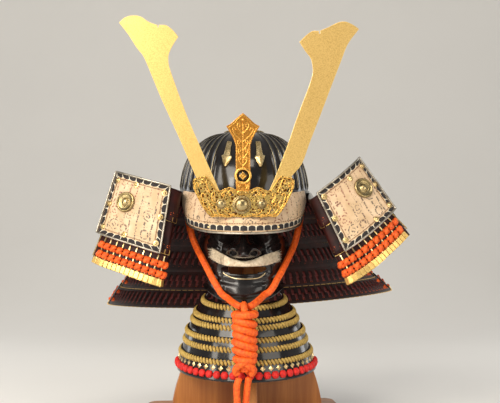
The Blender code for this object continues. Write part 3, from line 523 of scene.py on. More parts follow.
def frames_along(route, closed=False, up=None):
    """A steady frame (along, side, out) at each point of a route, without twist."""
    count = len(route)
    out = []
    side = None
    for i in range(count):
        if closed:
            along = (route[(i + 1) % count] - route[i - 1]).normalized()
        else:
            along = (route[min(i + 1, count - 1)] - route[max(i - 1, 0)]).normalized()
        if up is not None:
            side = up[i] if isinstance(up, list) else up
        elif side is None:
            side = along.orthogonal()
        side = (side - along * side.dot(along)).normalized()
        out.append((along, side, along.cross(side)))
    return out


def tube_piece(name, route, radius, material, sides=12, closed=False, up=None, flat=1.0, swell=None):
    """A tube along a route; radius may be a list; flat squashes it along the side direction.

    swell gives a share of the radius for an angle and the number of a ring.
    """
    route = [Vector(p) for p in route]
    rings, lengths = len(route), running_lengths(route)
    radii = radius if isinstance(radius, list) else [radius] * rings
    points, faces, uvs = [], [], []
    for i, (along, side, out) in enumerate(frames_along(route, closed, up)):
        for a in angles(sides):
            reach = radii[i] * (swell(a, i) if swell else 1.0)
            points.append(route[i] + (side * math.cos(a) * flat + out * math.sin(a)) * reach)
    for i in range(rings if closed else rings - 1):
        j = (i + 1) % rings
        high = lengths[j] if j else lengths[-1] + (route[0] - route[-1]).length
        for k in range(sides):
            m = (k + 1) % sides
            faces.append((i * sides + k, i * sides + m, j * sides + m, j * sides + k))
            low_u, high_u = k / sides, (k + 1) / sides
            uvs += [(low_u, lengths[i]), (high_u, lengths[i]), (high_u, high), (low_u, high)]
    if not closed:
        for ring, order in ((0, -1), (rings - 1, 1)):
            faces.append(tuple([ring * sides + k for k in range(sides)][::order]))
            uvs += [(0.5, lengths[ring])] * sides
    return mesh_piece(name, points, faces, material, uvs)


def turned_piece(name, profile, steps, material, place=NO_MOVE, squash=1.0, closed=False, wave=None):
    """A profile of (radius, height), from the top down, turned about the local Z axis."""
    points, faces, uvs, rings = [], [], [], []
    for r, z in profile:
        turns = angles(steps) if r > 1e-6 else [0.0]
        rings.append([len(points) + k for k in range(len(turns))])
        for a in turns:
            reach = r * (1.0 + (wave(a, r) if wave else 0.0))
            points.append(place @ Vector((reach * math.cos(a), reach * math.sin(a) * squash, z)))
    for top, low in zip(rings, rings[1:] + (rings[:1] if closed else [])):
        for k in range(steps):
            m = (k + 1) % steps
            corners = (top[k % len(top)], low[k % len(low)], low[m % len(low)], top[m % len(top)])
            corners = tuple(dict.fromkeys(corners))
            if len(corners) > 2:
                faces.append(corners)
                uvs += [(k / steps, 0.0)] * len(corners)
    return mesh_piece(name, points, faces, material, uvs)


def joined(name, pieces):
    """Several finished pieces made into one piece, each keeping its own material."""
    work = bmesh.new()
    finishes = []
    for piece in pieces:
        old = piece.data
        own = list(old.materials)
        finishes += [m for m in dict.fromkeys(own) if m not in finishes]
        start = len(work.faces)
        work.from_mesh(old)
        work.faces.ensure_lookup_table()
        for f in work.faces[start:]:
            f.material_index = finishes.index(own[f.material_index])
        bpy.data.objects.remove(piece, do_unlink=True)
        bpy.data.meshes.remove(old)
    data = bpy.data.meshes.new(name)
    work.to_mesh(data)
    work.free()
    for finish in finishes:
        data.materials.append(finish)
    return linked(name, data)


def as_part(obj, finish, *nodes):
    """Puts a finished piece in the model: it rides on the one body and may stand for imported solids."""
    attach(obj, "root")
    if nodes:
        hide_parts(*nodes)
    return obj


WELL_IN_FRONT = -0.4
REST_FROM, REST_TO = -0.3, 0.1
NEAR_ENOUGH = 0.00005


def mesh_tree(obj):
    obj.data.calc_loop_triangles()
    return BVHTree.FromPolygons([v.co.copy() for v in obj.data.vertices],
                                [tuple(t.vertices) for t in obj.data.loop_triangles])


def front_y(tree, x, z):
    """The y where a line along +Y first meets a piece."""
    hit = tree.ray_cast(Vector((x, WELL_IN_FRONT, z)), Vector((0, 1, 0)), 1.0)
    return hit[0].y if hit[0] is not None else None


def resting_y(tree, x, z, clear):
    """The y, coming from the front, where a point is first as near a piece as clear."""
    y = REST_FROM
    while y < REST_TO:
        room = tree.find_nearest(Vector((x, y, z)))[3] - clear
        if room < NEAR_ENOUGH:
            return y
        y += max(room * 0.9, NEAR_ENOUGH)
    return REST_TO


print("shape helpers ready")

# %% [markdown]
# ## A kit for lacing, rivets and scale heads
#
# A lamellar helmet repeats small things hundreds of times: lacing knots, scale heads, beads,
# rivets and strips. Each small thing is one mesh. A Geometry Nodes tree puts it on every point of
# a carrier mesh, turned by two vectors kept on the points, and makes the result real.


# %% Scatter kit
def scatter_tree():
    """Instances of one object on points, turned so local X is 'across' and local Z is 'out'."""
    tree = bpy.data.node_groups.new("set_in_rows", "GeometryNodeTree")
    for name, kind in (("Points", "Geometry"), ("Unit", "Object"), ("Size", "Float"), ("Finish", "Material")):
        tree.interface.new_socket(name, in_out="INPUT", socket_type="NodeSocket" + kind)
    tree.interface.new_socket("Result", in_out="OUTPUT", socket_type="NodeSocketGeometry")
    start = tree.nodes.new("NodeGroupInput")
    out, across, size = [
        add_node(tree, "GeometryNodeInputNamedAttribute", {"Name": name}, data_type="FLOAT_VECTOR")
        for name in ("out", "across", "size")]
    turn = add_node(tree, "FunctionNodeAxesToRotation", {0: out.outputs[0], 1: across.outputs[0]},
                    primary_axis="Z", secondary_axis="X")
    grow = add_node(tree, "ShaderNodeVectorMath", {0: size.outputs[0], "Scale": start.outputs["Size"]},
                    operation="SCALE")
    unit = add_node(tree, "GeometryNodeObjectInfo", {"Object": start.outputs["Unit"]},
                    transform_space="ORIGINAL")
    put = add_node(tree, "GeometryNodeInstanceOnPoints",
                   {"Points": start.outputs["Points"], "Instance": unit.outputs["Geometry"],
                    "Rotation": turn.outputs[0], "Scale": grow.outputs[0]})
    real = add_node(tree, "GeometryNodeRealizeInstances", {0: put.outputs[0]})
    finish = add_node(tree, "GeometryNodeSetMaterial",
                      {"Geometry": real.outputs[0], "Material": start.outputs["Finish"]})
    add_node(tree, "NodeGroupOutput", {0: finish.outputs[0]})
    return tree


ROWS_TREE = scatter_tree()


def made_real(holder):
    """The shape that a holder's curve or node tree makes, as a plain piece in the holder's place."""
    graph = bpy.context.evaluated_depsgraph_get()
    graph.update()
    mesh = bpy.data.meshes.new_from_object(holder.evaluated_get(graph), depsgraph=graph)
    name, old = holder.name, holder.data
    store = bpy.data.curves if holder.type == "CURVE" else bpy.data.meshes
    bpy.data.objects.remove(holder, do_unlink=True)
    store.remove(old)
    mesh.name = name
    return linked(name, mesh)


def set_in_rows(name, unit, spots, finish, size=1.0):
    """One small mesh set at every spot; a spot is (place, across, out) or (place, across, out, size)."""
    spots = [(*spot, (1.0, 1.0, 1.0))[:4] for spot in spots]
    carrier = bpy.data.meshes.new(name)
    carrier.from_pydata([tuple(spot[0]) for spot in spots], [], [])
    for column, key in enumerate(("across", "out", "size"), 1):
        layer = carrier.attributes.new(key, "FLOAT_VECTOR", "POINT")
        layer.data.foreach_set("vector", [v for spot in spots for v in spot[column]])
    holder = linked(name, carrier)
    rows = holder.modifiers.new("rows", "NODES")
    rows.node_group = ROWS_TREE
    values = {"Unit": unit, "Size": size, "Finish": finish}
    for item in ROWS_TREE.interface.items_tree:
        if item.in_out == "INPUT" and item.name in values:
            rows[item.identifier] = values[item.name]
    return made_real(holder)


def row_part(slot, *row):
    """A row made by set_in_rows, put in the model as a piece of its own."""
    return as_part(set_in_rows(*row), slot)


UNIT_PIECES = []


def unit_piece(name, build):
    """A small mesh about its own origin, used only to fill rows and removed at the end."""
    UNIT_PIECES.append(build(name))
    return UNIT_PIECES[-1]


def bead_piece(name, material=BRASS, rings=4, height=1.0, place=NO_MOVE):
    """A bead of radius 1, from its top down to just under the surface."""
    profile = [(0.0, height)]
    for k in range(1, rings + 1):
        a = math.pi / 2 * k / rings
        profile.append((math.sin(a), height * math.cos(a)))
    return turned_piece(name, profile + [(0.95, -0.25), (0.0, -0.25)], 10, material, place)


BEAD = unit_piece("bead", bead_piece)
print("units:", len(UNIT_PIECES))
# %% [markdown]
# ## The bowl
#
# The bowl is riveted from narrow iron plates whose flanged edges stand up as ridges, with one
# wide smooth plate over the brow. All of it is lacquered black, and the crests of the ridges are
# edged in pale gold. One formula gives the outer face, so the ridges can be added as a narrow
# swelling of it. A finer grid than the solid's makes the ridges thin and the curve smooth.

# %% Bowl and rim band
BOWL_HALF_WIDTH = 0.1085
BOWL_HALF_DEPTH = 0.125
BOWL_RIM_Z = 0.368
BOWL_HEIGHT = 0.124
BOWL_FULLNESS = 2.55
BOWL_WALL = 0.002
RIDGE_COUNT = 37
RIDGE_HEIGHT = 0.0022
RIDGE_HALF = 0.0012
RIDGE_RING = 0.115
RIDGE_PROFILE = ((-1.5, 0.0), (-0.9, 0.35), (-0.45, 0.95), (0.0, 1.0), (0.45, 0.95), (0.9, 0.35), (1.5, 0.0))
PLATE_ANGLE = math.radians(30.0)
PLATE_STEPS = 14
RIDGE_SHARE = [
    # (height share, share of the ridge's full height)
    (0.0, 0.0), (0.2, 0.0), (0.235, 1.0), (0.7, 1.0), (0.905, 0.8), (0.95, 0.45), (0.965, 0.0), (1.0, 0.0),
]
BOWL_ROWS = [0.0, 0.06, 0.12, 0.18, 0.22, 0.25, 0.31, 0.38, 0.46, 0.54, 0.62, 0.7, 0.77, 0.83, 0.88, 0.915,
             0.945, 0.965, 0.982, 0.994]
BOWL_INNER_ROWS = [0.994, 0.96, 0.9, 0.8, 0.66, 0.48, 0.26, 0.0]
GILT_FROM, GILT_TO = 0.22, 0.93


def bowl_point(angle, height, lift=0.0):
    """A point of the bowl's outer face: angle from the front towards +X, height as a share."""
    ring = (1.0 - min(height, 1.0) ** BOWL_FULLNESS) ** (1.0 / BOWL_FULLNESS)
    x = (BOWL_HALF_WIDTH + lift) * ring * math.sin(angle)
    y = -(BOWL_HALF_DEPTH + lift) * ring * math.cos(angle)
    return Vector((x, y, BOWL_RIM_Z + (BOWL_HEIGHT + lift) * height))


def bowl_columns():
    """(angle, share of the ridge) all round; each ridge has a foot, shoulders and a crest."""
    step = (2 * math.pi - 2 * PLATE_ANGLE) / (RIDGE_COUNT - 1)
    half = RIDGE_HALF / RIDGE_RING
    out = []
    for i in range(RIDGE_COUNT):
        middle = PLATE_ANGLE + i * step
        out += [(middle + offset * half, share) for offset, share in RIDGE_PROFILE]
        if i < RIDGE_COUNT - 1:
            out.append((middle + step / 2, 0.0))
    out += [(-PLATE_ANGLE + 2 * PLATE_ANGLE * k / PLATE_STEPS, 0.0) for k in range(1, PLATE_STEPS)]
    return out


def build_bowl():
    columns = bowl_columns()
    count = len(columns)
    points = []
    for h in BOWL_ROWS:
        rise = RIDGE_HEIGHT * between(RIDGE_SHARE, h)[1]
        points += [bowl_point(angle, h, rise * share) for angle, share in columns]
    crown = len(points)
    points += [Vector((0, 0, BOWL_RIM_Z + BOWL_HEIGHT - wall)) for wall in (0.0, BOWL_WALL)]
    first = len(points)
    points += [bowl_point(angle, h, -BOWL_WALL) for h in BOWL_INNER_ROWS for angle, share in columns]
    low = len(points) - count
    crests = [columns[c][1] > 0.9 and columns[(c + 1) % count][1] > 0.9 for c in range(count)]
    index = [int(crest and GILT_FROM <= h < GILT_TO) for h in BOWL_ROWS[:-1] for crest in crests]
    faces = ring_faces(len(BOWL_ROWS), count)
    for c in range(count):
        d = (c + 1) % count
        faces += [(crown - count + c, crown - count + d, crown), (crown + 1, first + d, first + c),
                  (low + c, low + d, d, c)]
        index += [0, 2, 0]
    inside = ring_faces(len(BOWL_INNER_ROWS), count, first)
    return mesh_piece("bowl_shell", points, faces + inside, [LACQUER, PALE_GILT, RED_LACQUER],
                      index=index + [2] * len(inside))


PALE_GILT = make_brass("pale_gilt", (0.8, 0.68, 0.42), (0.4, 0.3, 0.15), 0.33)
bowl = build_bowl()
as_part(bowl, "black_lacquer", "bowl")

BAND_TOP_Z = 0.391
BAND_BOTTOM_Z = 0.365
BAND_INNER = BOWL_HALF_WIDTH + 0.0008
BAND_OUTER = BAND_INNER + 0.0016
BAND_SQUASH = (BOWL_HALF_DEPTH + 0.0008) / BAND_INNER
band_profile = [
    (BAND_OUTER, BAND_TOP_Z - 0.0008), (BAND_OUTER + 0.0002, BAND_TOP_Z - 0.004),
    (BAND_OUTER, BAND_BOTTOM_Z + 0.0006),
    (BAND_OUTER - 0.0007, BAND_BOTTOM_Z), (BAND_INNER, BAND_BOTTOM_Z), (BAND_INNER, BAND_TOP_Z),
    (BAND_OUTER - 0.0006, BAND_TOP_Z),
]
band = turned_piece("rim_band", band_profile, 96, LACQUER, squash=BAND_SQUASH, closed=True)
as_part(outward(band), "black_lacquer", "bowl_band")
print("ridges", RIDGE_COUNT, "bowl faces", len(bowl.data.polygons))

# %% [markdown]
# ## Crown mount and arrows
#
# A ring of brass leaves is set round the crown, and two brass arrows lie point down on the front
# plate. The ring is turned with a scalloped edge; the arrows are cut from sheet, with a raised
# midrib and a barbed head, and lie on the bowl's own curve.


# %% Crown mount
CROWN_SQUASH = BOWL_HALF_DEPTH / BOWL_HALF_WIDTH
PETALS = 16
CROWN_BEADS = 40
CROWN_BEAD_RING = 0.0206
CROWN_LEAVES = metres([
    # (radius, height above the bowl there)
    (190, 34), (215, 34), (250, 27), (290, 23), (325, 16), (328, 6), (250, 6), (190, 6),
])
CROWN_COLLAR = metres([
    # (radius, height above the bowl there)
    (120, 62), (132, 66), (150, 60), (156, 40), (180, 36), (186, 6), (120, 6),
])


def crown_height(radius, lift):
    ring = radius / BOWL_HALF_WIDTH
    return BOWL_RIM_Z + BOWL_HEIGHT * (1.0 - ring ** BOWL_FULLNESS) ** (1.0 / BOWL_FULLNESS) + lift


def crown_ring(name, table, steps, material, wave=None):
    """A ring turned round the crown, oval like the bowl."""
    profile = [(r, crown_height(r, lift)) for r, lift in table]
    return outward(turned_piece(name, profile, steps, material, squash=CROWN_SQUASH, closed=True, wave=wave))


def petal_wave(a, r):
    return 0.045 * math.cos(PETALS * a) if 0.024 < r < 0.0335 else 0.0


def build_crown_mount():
    spots = []
    for a in angles(CROWN_BEADS):
        place = Vector((CROWN_BEAD_RING * math.cos(a), CROWN_BEAD_RING * math.sin(a) * CROWN_SQUASH,
                        crown_height(CROWN_BEAD_RING, 0.0036)))
        spots.append((place, Vector((math.cos(a), math.sin(a), 0)), Vector((0, 0, 1))))
    return joined("crown_mount", [crown_ring("crown_leaves", CROWN_LEAVES, 128, BRASS, petal_wave),
                                  crown_ring("crown_collar", CROWN_COLLAR, 72, BRIGHT_BRASS),
                                  set_in_rows("crown_beads", BEAD, spots, BRIGHT_BRASS, 0.0012)])


as_part(build_crown_mount(), "aged_brass", "crown_ornament")
print("crown beads", CROWN_BEADS)

# %% Arrows on the front plate
bowl_tree = mesh_tree(bowl)
ARROW_HALF = [
    # (share of the length from the stem's top, half-width)
    (0.0, 0.003), (0.1, 0.0036), (0.22, 0.0034), (0.38, 0.004), (0.5, 0.0046), (0.565, 0.005), (0.59, 0.0078),
    (0.62, 0.0078), (0.72, 0.0064), (0.8, 0.005), (0.88, 0.0034), (0.95, 0.0018), (1.0, 0.0006),
]
ARROWS = metres({
    # side: top of the stem (x, z), tip (x, z)
    "left": ((-233, 4705), (-298, 4295)),
    "right": ((230, 4705), (272, 4290)),
})


def build_arrow(side, top, tip):
    start, end = Vector(top), Vector(tip)
    along = (end - start).normalized()
    across = Vector((-along.y, along.x))
    grid = []
    for step in range(33):
        share = step / 32
        half = between(ARROW_HALF, share)[1]
        middle = start.lerp(end, share)
        row = []
        for k in (-1.0, -0.86, -0.45, -0.12, 0.0, 0.12, 0.45, 0.86, 1.0):
            x = middle.x + across.x * half * k
            z = middle.y + across.y * half * k
            rise = 0.0016 + 0.0011 * (1 - abs(k)) ** 0.7 - (0.0005 if abs(k) == 1.0 else 0.0)
            row.append(Vector((x, front_y(bowl_tree, x, z) - rise, z)))
        grid.append(row)
    return sheet_piece("arrow_" + side, grid, 0.0011, BRIGHT_BRASS)


for side, (top, tip) in ARROWS.items():
    arrow = outward(build_arrow(side, top, tip))
    as_part(arrow, "aged_brass", "dart_" + side)
print("arrows:", list(ARROWS))

# %% [markdown]
# ## The chin cord
#
# A round silk braid, eleven millimetres across, comes down from the bowl's rim on each side, lies
# along the mask's jaw and meets under the chin in a wrapped knot, with two short tails below. The
# braid is modelled rather than painted: eight plaited strands swell the tube in slanting lobes.


# %% Face mask surface, which the cord lies on
MASK_ROWS = metres([
    # (z at the middle, z at the cheek edge, half-width, front y, cheek edge y, nose depth, nose half-width)
    (3300, 3120, 740, -1080, -180, 110, 120), (3190, 3060, 752, -1100, -190, 190, 130),
    (3080, 2990, 760, -1120, -200, 270, 160), (2985, 2930, 763, -1140, -205, 350, 210),
    (2905, 2880, 762, -1155, -210, 390, 235), (2850, 2850, 760, -1160, -212, 330, 200),
    (2810, 2820, 757, -1165, -214, 80, 160), (2735, 2780, 752, -1170, -216, 0, 160),
    (2660, 2735, 745, -1150, -218, 0, 160), (2565, 2685, 735, -1150, -220, 0, 160),
    (2490, 2640, 720, -1180, -230, 0, 160), (2410, 2585, 700, -1165, -240, 0, 160),
    (2320, 2530, 680, -1225, -250, 0, 160), (2230, 2470, 650, -1240, -260, 0, 160),
    (2150, 2400, 640, -1190, -270, 0, 160), (2065, 2340, 692, -1153, -275, 0, 160),
])
MASK_WALL = 0.0022
MASK_CHEEK = [
    # (share across, fullness added to the front)
    (0.0, 0.0), (0.42, 0.0), (0.54, 0.0035), (0.7, 0.004), (0.86, 0.0), (1.0, 0.0),
]


def mask_point(level, share):
    """The mask's outer face at a level (row number, whole or between) and a share across."""
    rows = [(float(i), *row) for i, row in enumerate(MASK_ROWS)]
    z_mid, z_side, half, front, cheek, nose, nose_half = softly(rows, level)[1:]
    x = half * share
    across = abs(share)
    y = cheek + (front - cheek) * math.sqrt(max(1.0 - across ** 2.3, 0.0))
    y -= max(nose, 0.0) * max(0.0, 1.0 - (abs(x) / (nose_half * 1.35)) ** 2) ** 1.2
    y -= softly(MASK_CHEEK, across)[1]
    return Vector((x, y, z_mid + (z_side - z_mid) * across ** 2))


def mask_face_grid(levels, shares):
    return [[mask_point(v, s) for s in shares] for v in levels]


rest_grid = mask_face_grid([i / 2 for i in range(31)], [1 - i / 20 for i in range(41)])
rest_mask = sheet_piece("mask_rest", rest_grid, MASK_WALL, MASK_LACQUER)
mask_rest_tree = mesh_tree(rest_mask)
bpy.data.objects.remove(rest_mask, do_unlink=True)
print("mask levels", len(MASK_ROWS))
# %% Braided cord
CORD_RADIUS = 0.0055
CORD_CLEAR = CORD_RADIUS + 0.0009
BRAID_COLUMNS = 4
BRAID_PITCH = 0.0046
BRAID_DEPTH = 0.15
CORD_PATHS = metres({
    # side: (x, y or None to lie on the mask, z) from the bowl down to the knot
    "left": [
        (-953, -360, 3760), (-940, -400, 3500), (-880, -500, 3220), (-790, -600, 2990), (-653, None, 2757),
        (-444, None, 2395), (-260, None, 2190), (-125, -1590, 2120), (-26, -1675, 2079),
    ],
    "right": [
        (953, -360, 3760), (942, -400, 3500), (893, -480, 3240), (830, -540, 3015), (701, None, 2756),
        (534, None, 2470), (338, None, 2248), (165, -1580, 2125), (62, -1675, 2079),
    ],
})
TAIL_PATHS = metres({
    # side: (x, y, z) from the knot down to the bare end
    "left": [(-62, -1725, 993), (-105, -1745, 850), (-95, -1735, 560), (-80, -1715, 330)],
    "right": [(85, -1690, 1000), (60, -1670, 850), (35, -1655, 560), (35, -1650, 300)],
})


def braid_swell(a, s, pitch):
    """Share of the cord's radius at an angle and a distance along: slanting lobes in columns."""
    spot = a / (2 * math.pi) * BRAID_COLUMNS * 2
    t = spot - int(spot) - 0.5
    slant = t if int(spot) % 2 else -t
    phase = s / pitch + slant * 0.55 + (0.5 if int(spot / 2) % 2 else 0.0)
    lobe = abs(math.sin(math.pi * phase)) ** 0.55
    edge = math.cos(math.pi * t) ** 0.45
    return 1.0 + 0.035 - BRAID_DEPTH * (1 - lobe * edge)


def braided_piece(name, route, radius=CORD_RADIUS, sides=32, pitch=BRAID_PITCH, step=0.0007, ends=0.6):
    """A braided cord along a route, its ends rounded over, and its centre line."""
    fine = even_points(route, max(int(route_length(route) / step), 8))
    length, last = route_length(fine), len(fine) - 1
    distances = [length * i / last for i in range(last + 1)]
    radii = []
    for s in distances:
        from_end = min(min(s, length - s) / radius / ends, 1.0) if ends else 1.0
        radii.append(radius * math.sqrt(max(1 - (1 - from_end) ** 2, 0.04)))
    made = tube_piece(name, fine, radii, CORD_ORANGE, sides,
                      swell=lambda a, i: braid_swell(a, distances[i], pitch))
    return made, fine


def strand_route(side):
    chosen = []
    for x, y, z in CORD_PATHS[side]:
        if y is None:
            y = resting_y(mask_rest_tree, x, z, CORD_CLEAR)
        chosen.append((x, y, z))
    route = []
    for place in smooth_route(chosen, 61):
        near, _, _, room = mask_rest_tree.find_nearest(place)
        if room < CORD_CLEAR:
            place = near + (place - near).normalized() * CORD_CLEAR
        route.append(place)
    return even_points(route, 61)


for side in CORD_PATHS:
    route = strand_route(side)
    strand, path = braided_piece("chin_strand_" + side, route)
    as_part(strand, "orange_cord", "chin_cord_" + side)
    print("chin strand", side, round(route_length(path) * 1000, 1), "mm")

# %% Wrapped knot
KNOT_X = 0.0018
KNOT_Y = -0.1692
KNOT_SQUASH = 0.85
KNOT_CORE = 0.0105
KNOT_LOOPS = metres([
    # (height of the loop's middle, its reach from the knot's axis, lean of the loop in metres across)
    (1970, 156, 6), (1852, 138, -36), (1735, 148, -48), (1616, 138, -50), (1498, 148, -48),
    (1380, 140, -40), (1268, 132, -10),
])


KNOT_BENDS = metres([
    # (x, y, z) of the strand that comes over the top, and of the three looser bulges at the foot
    [(3, -1640, 2105), (3, -1725, 2130), (8, -1790, 2085), (18, -1800, 2010)],
    [(100, -1740, 1285), (30, -1800, 1240), (-80, -1800, 1180), (-125, -1760, 1100), (-75, -1730, 1035)],
    [(-40, -1740, 1240), (60, -1790, 1195), (150, -1760, 1130), (140, -1720, 1070), (85, -1700, 1035)],
    [(-60, -1640, 1260), (100, -1640, 1200), (130, -1640, 1120), (20, -1640, 1060)],
])


def build_knot():
    """Turns of the braid wrapped round the strands, with three looser bulges at the foot."""
    parts = []
    for z, reach, lean in KNOT_LOOPS:
        ring = []
        for k in range(49):
            a = 2 * math.pi * k / 48
            ring.append(Vector((KNOT_X + reach * math.cos(a), KNOT_Y + reach * math.sin(a) * KNOT_SQUASH,
                                z + lean * math.cos(a))))
        parts.append(braided_piece("knot_loop", ring, 0.0063, 22, 0.0042, 0.0009, 0.0)[0])
    for number, chosen in enumerate(KNOT_BENDS):
        radius, count = (0.0057, 30) if number else (0.0052, 24)
        route = smooth_route(chosen, count)
        parts.append(braided_piece("knot_bend", route, radius, 24, step=0.0009, ends=0.5)[0])
    core = [(KNOT_X, KNOT_Y, z / 1000) for z in range(200, 104, -4)]
    parts.append(tube_piece("knot_core", core, KNOT_CORE * 0.9, CORD_ORANGE, 20))
    return joined("chin_knot_wrapped", parts)


as_part(build_knot(), "orange_cord", "chin_knot")
for side in TAIL_PATHS:
    route = smooth_route(TAIL_PATHS[side], 41)
    tail, path = braided_piece("cord_end_" + side, route)
    as_part(tail, "orange_cord", "cord_tail_" + side)
    print("cord end", side, round(route_length(path) * 1000, 1), "mm")
# %% [markdown]
# ## The peak
#
# The peak is an iron plate covered in pale printed deerskin, bound with a silver edging. Inside
# the edging runs a line of orange stitches, then a border of small dark blocks parted by white
# threads. The print is stencilled: small flowers, dots and wavy lines. It lies on the sheet's UV,
# which is measured in metres, so the flowers come out at the right size and follow the bend.


# %% Printed leather
def make_printed_leather(name):
    r = Recipe(name, (0.7, 0.58, 0.42), 0.62, Sheen_Weight=0.12)
    flat = r.place(uv=True)
    bent = r.wavering(flat, 38.0, 0.003)
    # Flowers: each cell has an eye and a broken ring of petals round it.
    flower = r.add("ShaderNodeTexVoronoi", {"Vector": bent, "Scale": 36.0, "Randomness": 0.45})
    near = flower.outputs["Distance"]
    eye = r.spread(near, 0.05, 0.08, 1.0, 0.0)
    inner = r.times(r.spread(near, 0.12, 0.15), r.spread(near, 0.18, 0.21, 1.0, 0.0))
    ring = r.times(r.spread(near, 0.27, 0.3), r.spread(near, 0.34, 0.37, 1.0, 0.0))
    breaks = r.spread(r.cells(300.0, flat, jitter=0.8), 0.42, 0.6, 1.0, 0.0)
    petals = r.times(r.maths("MAXIMUM", ring, inner), breaks)
    # Rows of small dark dots and, further apart, dashed lines fill the ground.
    dots = r.spread(r.cells(360.0, bent, jitter=0.15), 0.34, 0.42, 1.0, 0.0)
    rows = r.spread(r.bands(66.0, bent, "Y", 1.6), 0.22, 0.32)
    patches = r.spread(r.noise(48.0, 2.0, at=flat), 0.38, 0.44)
    rows = r.times(rows, patches)
    lines = r.times(r.spread(r.bands(24.0, bent, "X", 2.0), 0.84, 0.92), breaks)
    ground = r.times(r.maths("MAXIMUM", r.times(dots, rows), lines), r.spread(near, 0.38, 0.42))
    ink = r.maths("MAXIMUM", r.maths("MAXIMUM", eye, petals), ground)
    hue = r.tint(r.spread(flower.outputs["Color"], 0.35, 0.65), (0.05, 0.038, 0.034), (0.24, 0.07, 0.042))
    skin = r.tint(r.spread(r.noise(45.0, 4.0), 0.35, 0.7), (0.54, 0.37, 0.21), (0.72, 0.53, 0.35))
    r.feed("Base Color", r.tint(r.times(ink, 0.9), skin, hue))
    under = r.bump(r.cells(1500.0, feature="SMOOTH_F1"), 0.0001, 0.45)
    r.bump(r.times(ink, -1.0), 0.00006, 0.5, under)
    return r.material


def make_edge_blocks(name, pitch):
    """The printed border: dark grey blocks with rounded inner ends, parted by white."""
    r = Recipe(name, (0.04, 0.04, 0.05), 0.7, Specular_IOR_Level=0.15)
    parts = r.add("ShaderNodeSeparateXYZ", {0: r.place(uv=True)})
    outward_share = r.spread(parts.outputs["X"], 0.25, 0.5)
    share = r.maths("FRACT", r.maths("DIVIDE", parts.outputs["Y"], pitch))
    off_middle = r.times(r.maths("ABSOLUTE", r.maths("SUBTRACT", share, 0.5)), 2.0)
    point = r.maths("POWER", r.maths("SUBTRACT", 1.0, outward_share), 8.0)
    limit = r.maths("SUBTRACT", 0.9, r.times(point, 0.8))
    past = r.maths("SUBTRACT", off_middle, limit)
    white = r.spread(past, -0.02, 0.04)
    leather = r.spread(past, 0.22, 0.3)
    dark = r.tint(r.noise(260.0), (0.012, 0.01, 0.01), (0.05, 0.046, 0.048))
    paint = r.tint(white, dark, (0.74, 0.68, 0.55))
    r.feed("Base Color", r.tint(leather, paint, (0.66, 0.46, 0.24)))
    r.bump(r.times(white, r.noise(2000.0)), 0.00012, 0.6)
    return r.material


LEATHER_PRINT = make_printed_leather("printed_leather")
EDGE_BLOCKS = make_edge_blocks("edge_blocks", 0.0128)
STITCH_SILK = make_silk("stitch_silk", (0.3, 0.16, 0.07), (0.12, 0.06, 0.03), 2600.0, 0.1)
LEATHER_WALL = 0.0022
RIM_RADIUS = 0.0016
GAP = 0.0003
print("leather finishes ready")

# %% Peak
PEAK_EDGE = [
    # (share across, x as a share of the bowl's half-width, ahead of the bowl's front, z) of the free edge
    (0.0, 0.0, 0.049, 0.3255), (0.25, 0.3041, 0.041, 0.3262), (0.5, 0.5899, 0.018, 0.329),
    (0.75, 0.8111, -0.017, 0.3365), (1.0, 0.8986, -0.061, 0.35),
]
PEAK_ANGLE = math.radians(61.0)
PEAK_ROOT_LIFT = 0.0008 + 0.0016 + LEATHER_WALL + 2 * GAP
PEAK_ROOT_Z = 0.384
PEAK_ROOT_RISE = 0.007
PEAK_BULGE = 0.0055


def peak_point(share, out, lift=0.0):
    """share -1..1 across, out 0 at the bowl and 1 at the free edge."""
    side = 1.0 if share >= 0 else -1.0
    angle = PEAK_ANGLE * share
    root = Vector(((BOWL_HALF_WIDTH + PEAK_ROOT_LIFT) * math.sin(angle),
                   -(BOWL_HALF_DEPTH + PEAK_ROOT_LIFT) * math.cos(angle),
                   PEAK_ROOT_Z + PEAK_ROOT_RISE * share * share))
    row = between(PEAK_EDGE, abs(share)) if abs(share) < 0.02 else softly(PEAK_EDGE, abs(share))
    edge = Vector((row[1] * BOWL_HALF_WIDTH * side, -BOWL_HALF_DEPTH - row[2], row[3]))
    away = Vector((math.sin(angle), -math.cos(angle), 0.9)).normalized()
    return root.lerp(edge, out) + away * (PEAK_BULGE * math.sin(math.pi * out) + lift)


PEAK_ACROSS = [-1 + i / 36 for i in range(73)]
peak_grid = [[peak_point(s, out / 20) for s in PEAK_ACROSS[::-1]] for out in range(21)]
peak = sheet_piece("peak_leather", peak_grid, LEATHER_WALL, LEATHER_PRINT, RED_LACQUER)
as_part(outward(peak), "printed_leather", "peak")


def strip_piece(name, inner, outer, away, thick=0.0005, material=EDGE_BLOCKS):
    """A thin raised strip between two routes, closed below; UV's Y runs along it in metres."""
    points, uvs = [], []
    for a, b, n in zip(inner, outer, away):
        points += [a, a + n * thick, b + n * thick, b]
    lengths = running_lengths(inner)
    for low, high in zip(lengths, lengths[1:]):
        for k in range(4):
            m = (k + 1) % 4
            uvs += [(k / 4, low), (m / 4, low), (m / 4, high), (k / 4, high)]
    last = len(points) - 4
    faces = ring_faces(len(inner), 4) + [(3, 2, 1, 0), (last, last + 1, last + 2, last + 3)]
    uvs += [(0, 0)] * 4 + [(0, lengths[-1])] * 4
    return outward(mesh_piece(name, points, faces, material, uvs, smooth=False))


def peak_away(share, out):
    along = peak_point(min(share + 0.01, 1.0), out) - peak_point(max(share - 0.01, -1.0), out)
    down = peak_point(share, min(out + 0.02, 1.0)) - peak_point(share, max(out - 0.02, 0.0))
    return down.cross(along).normalized()


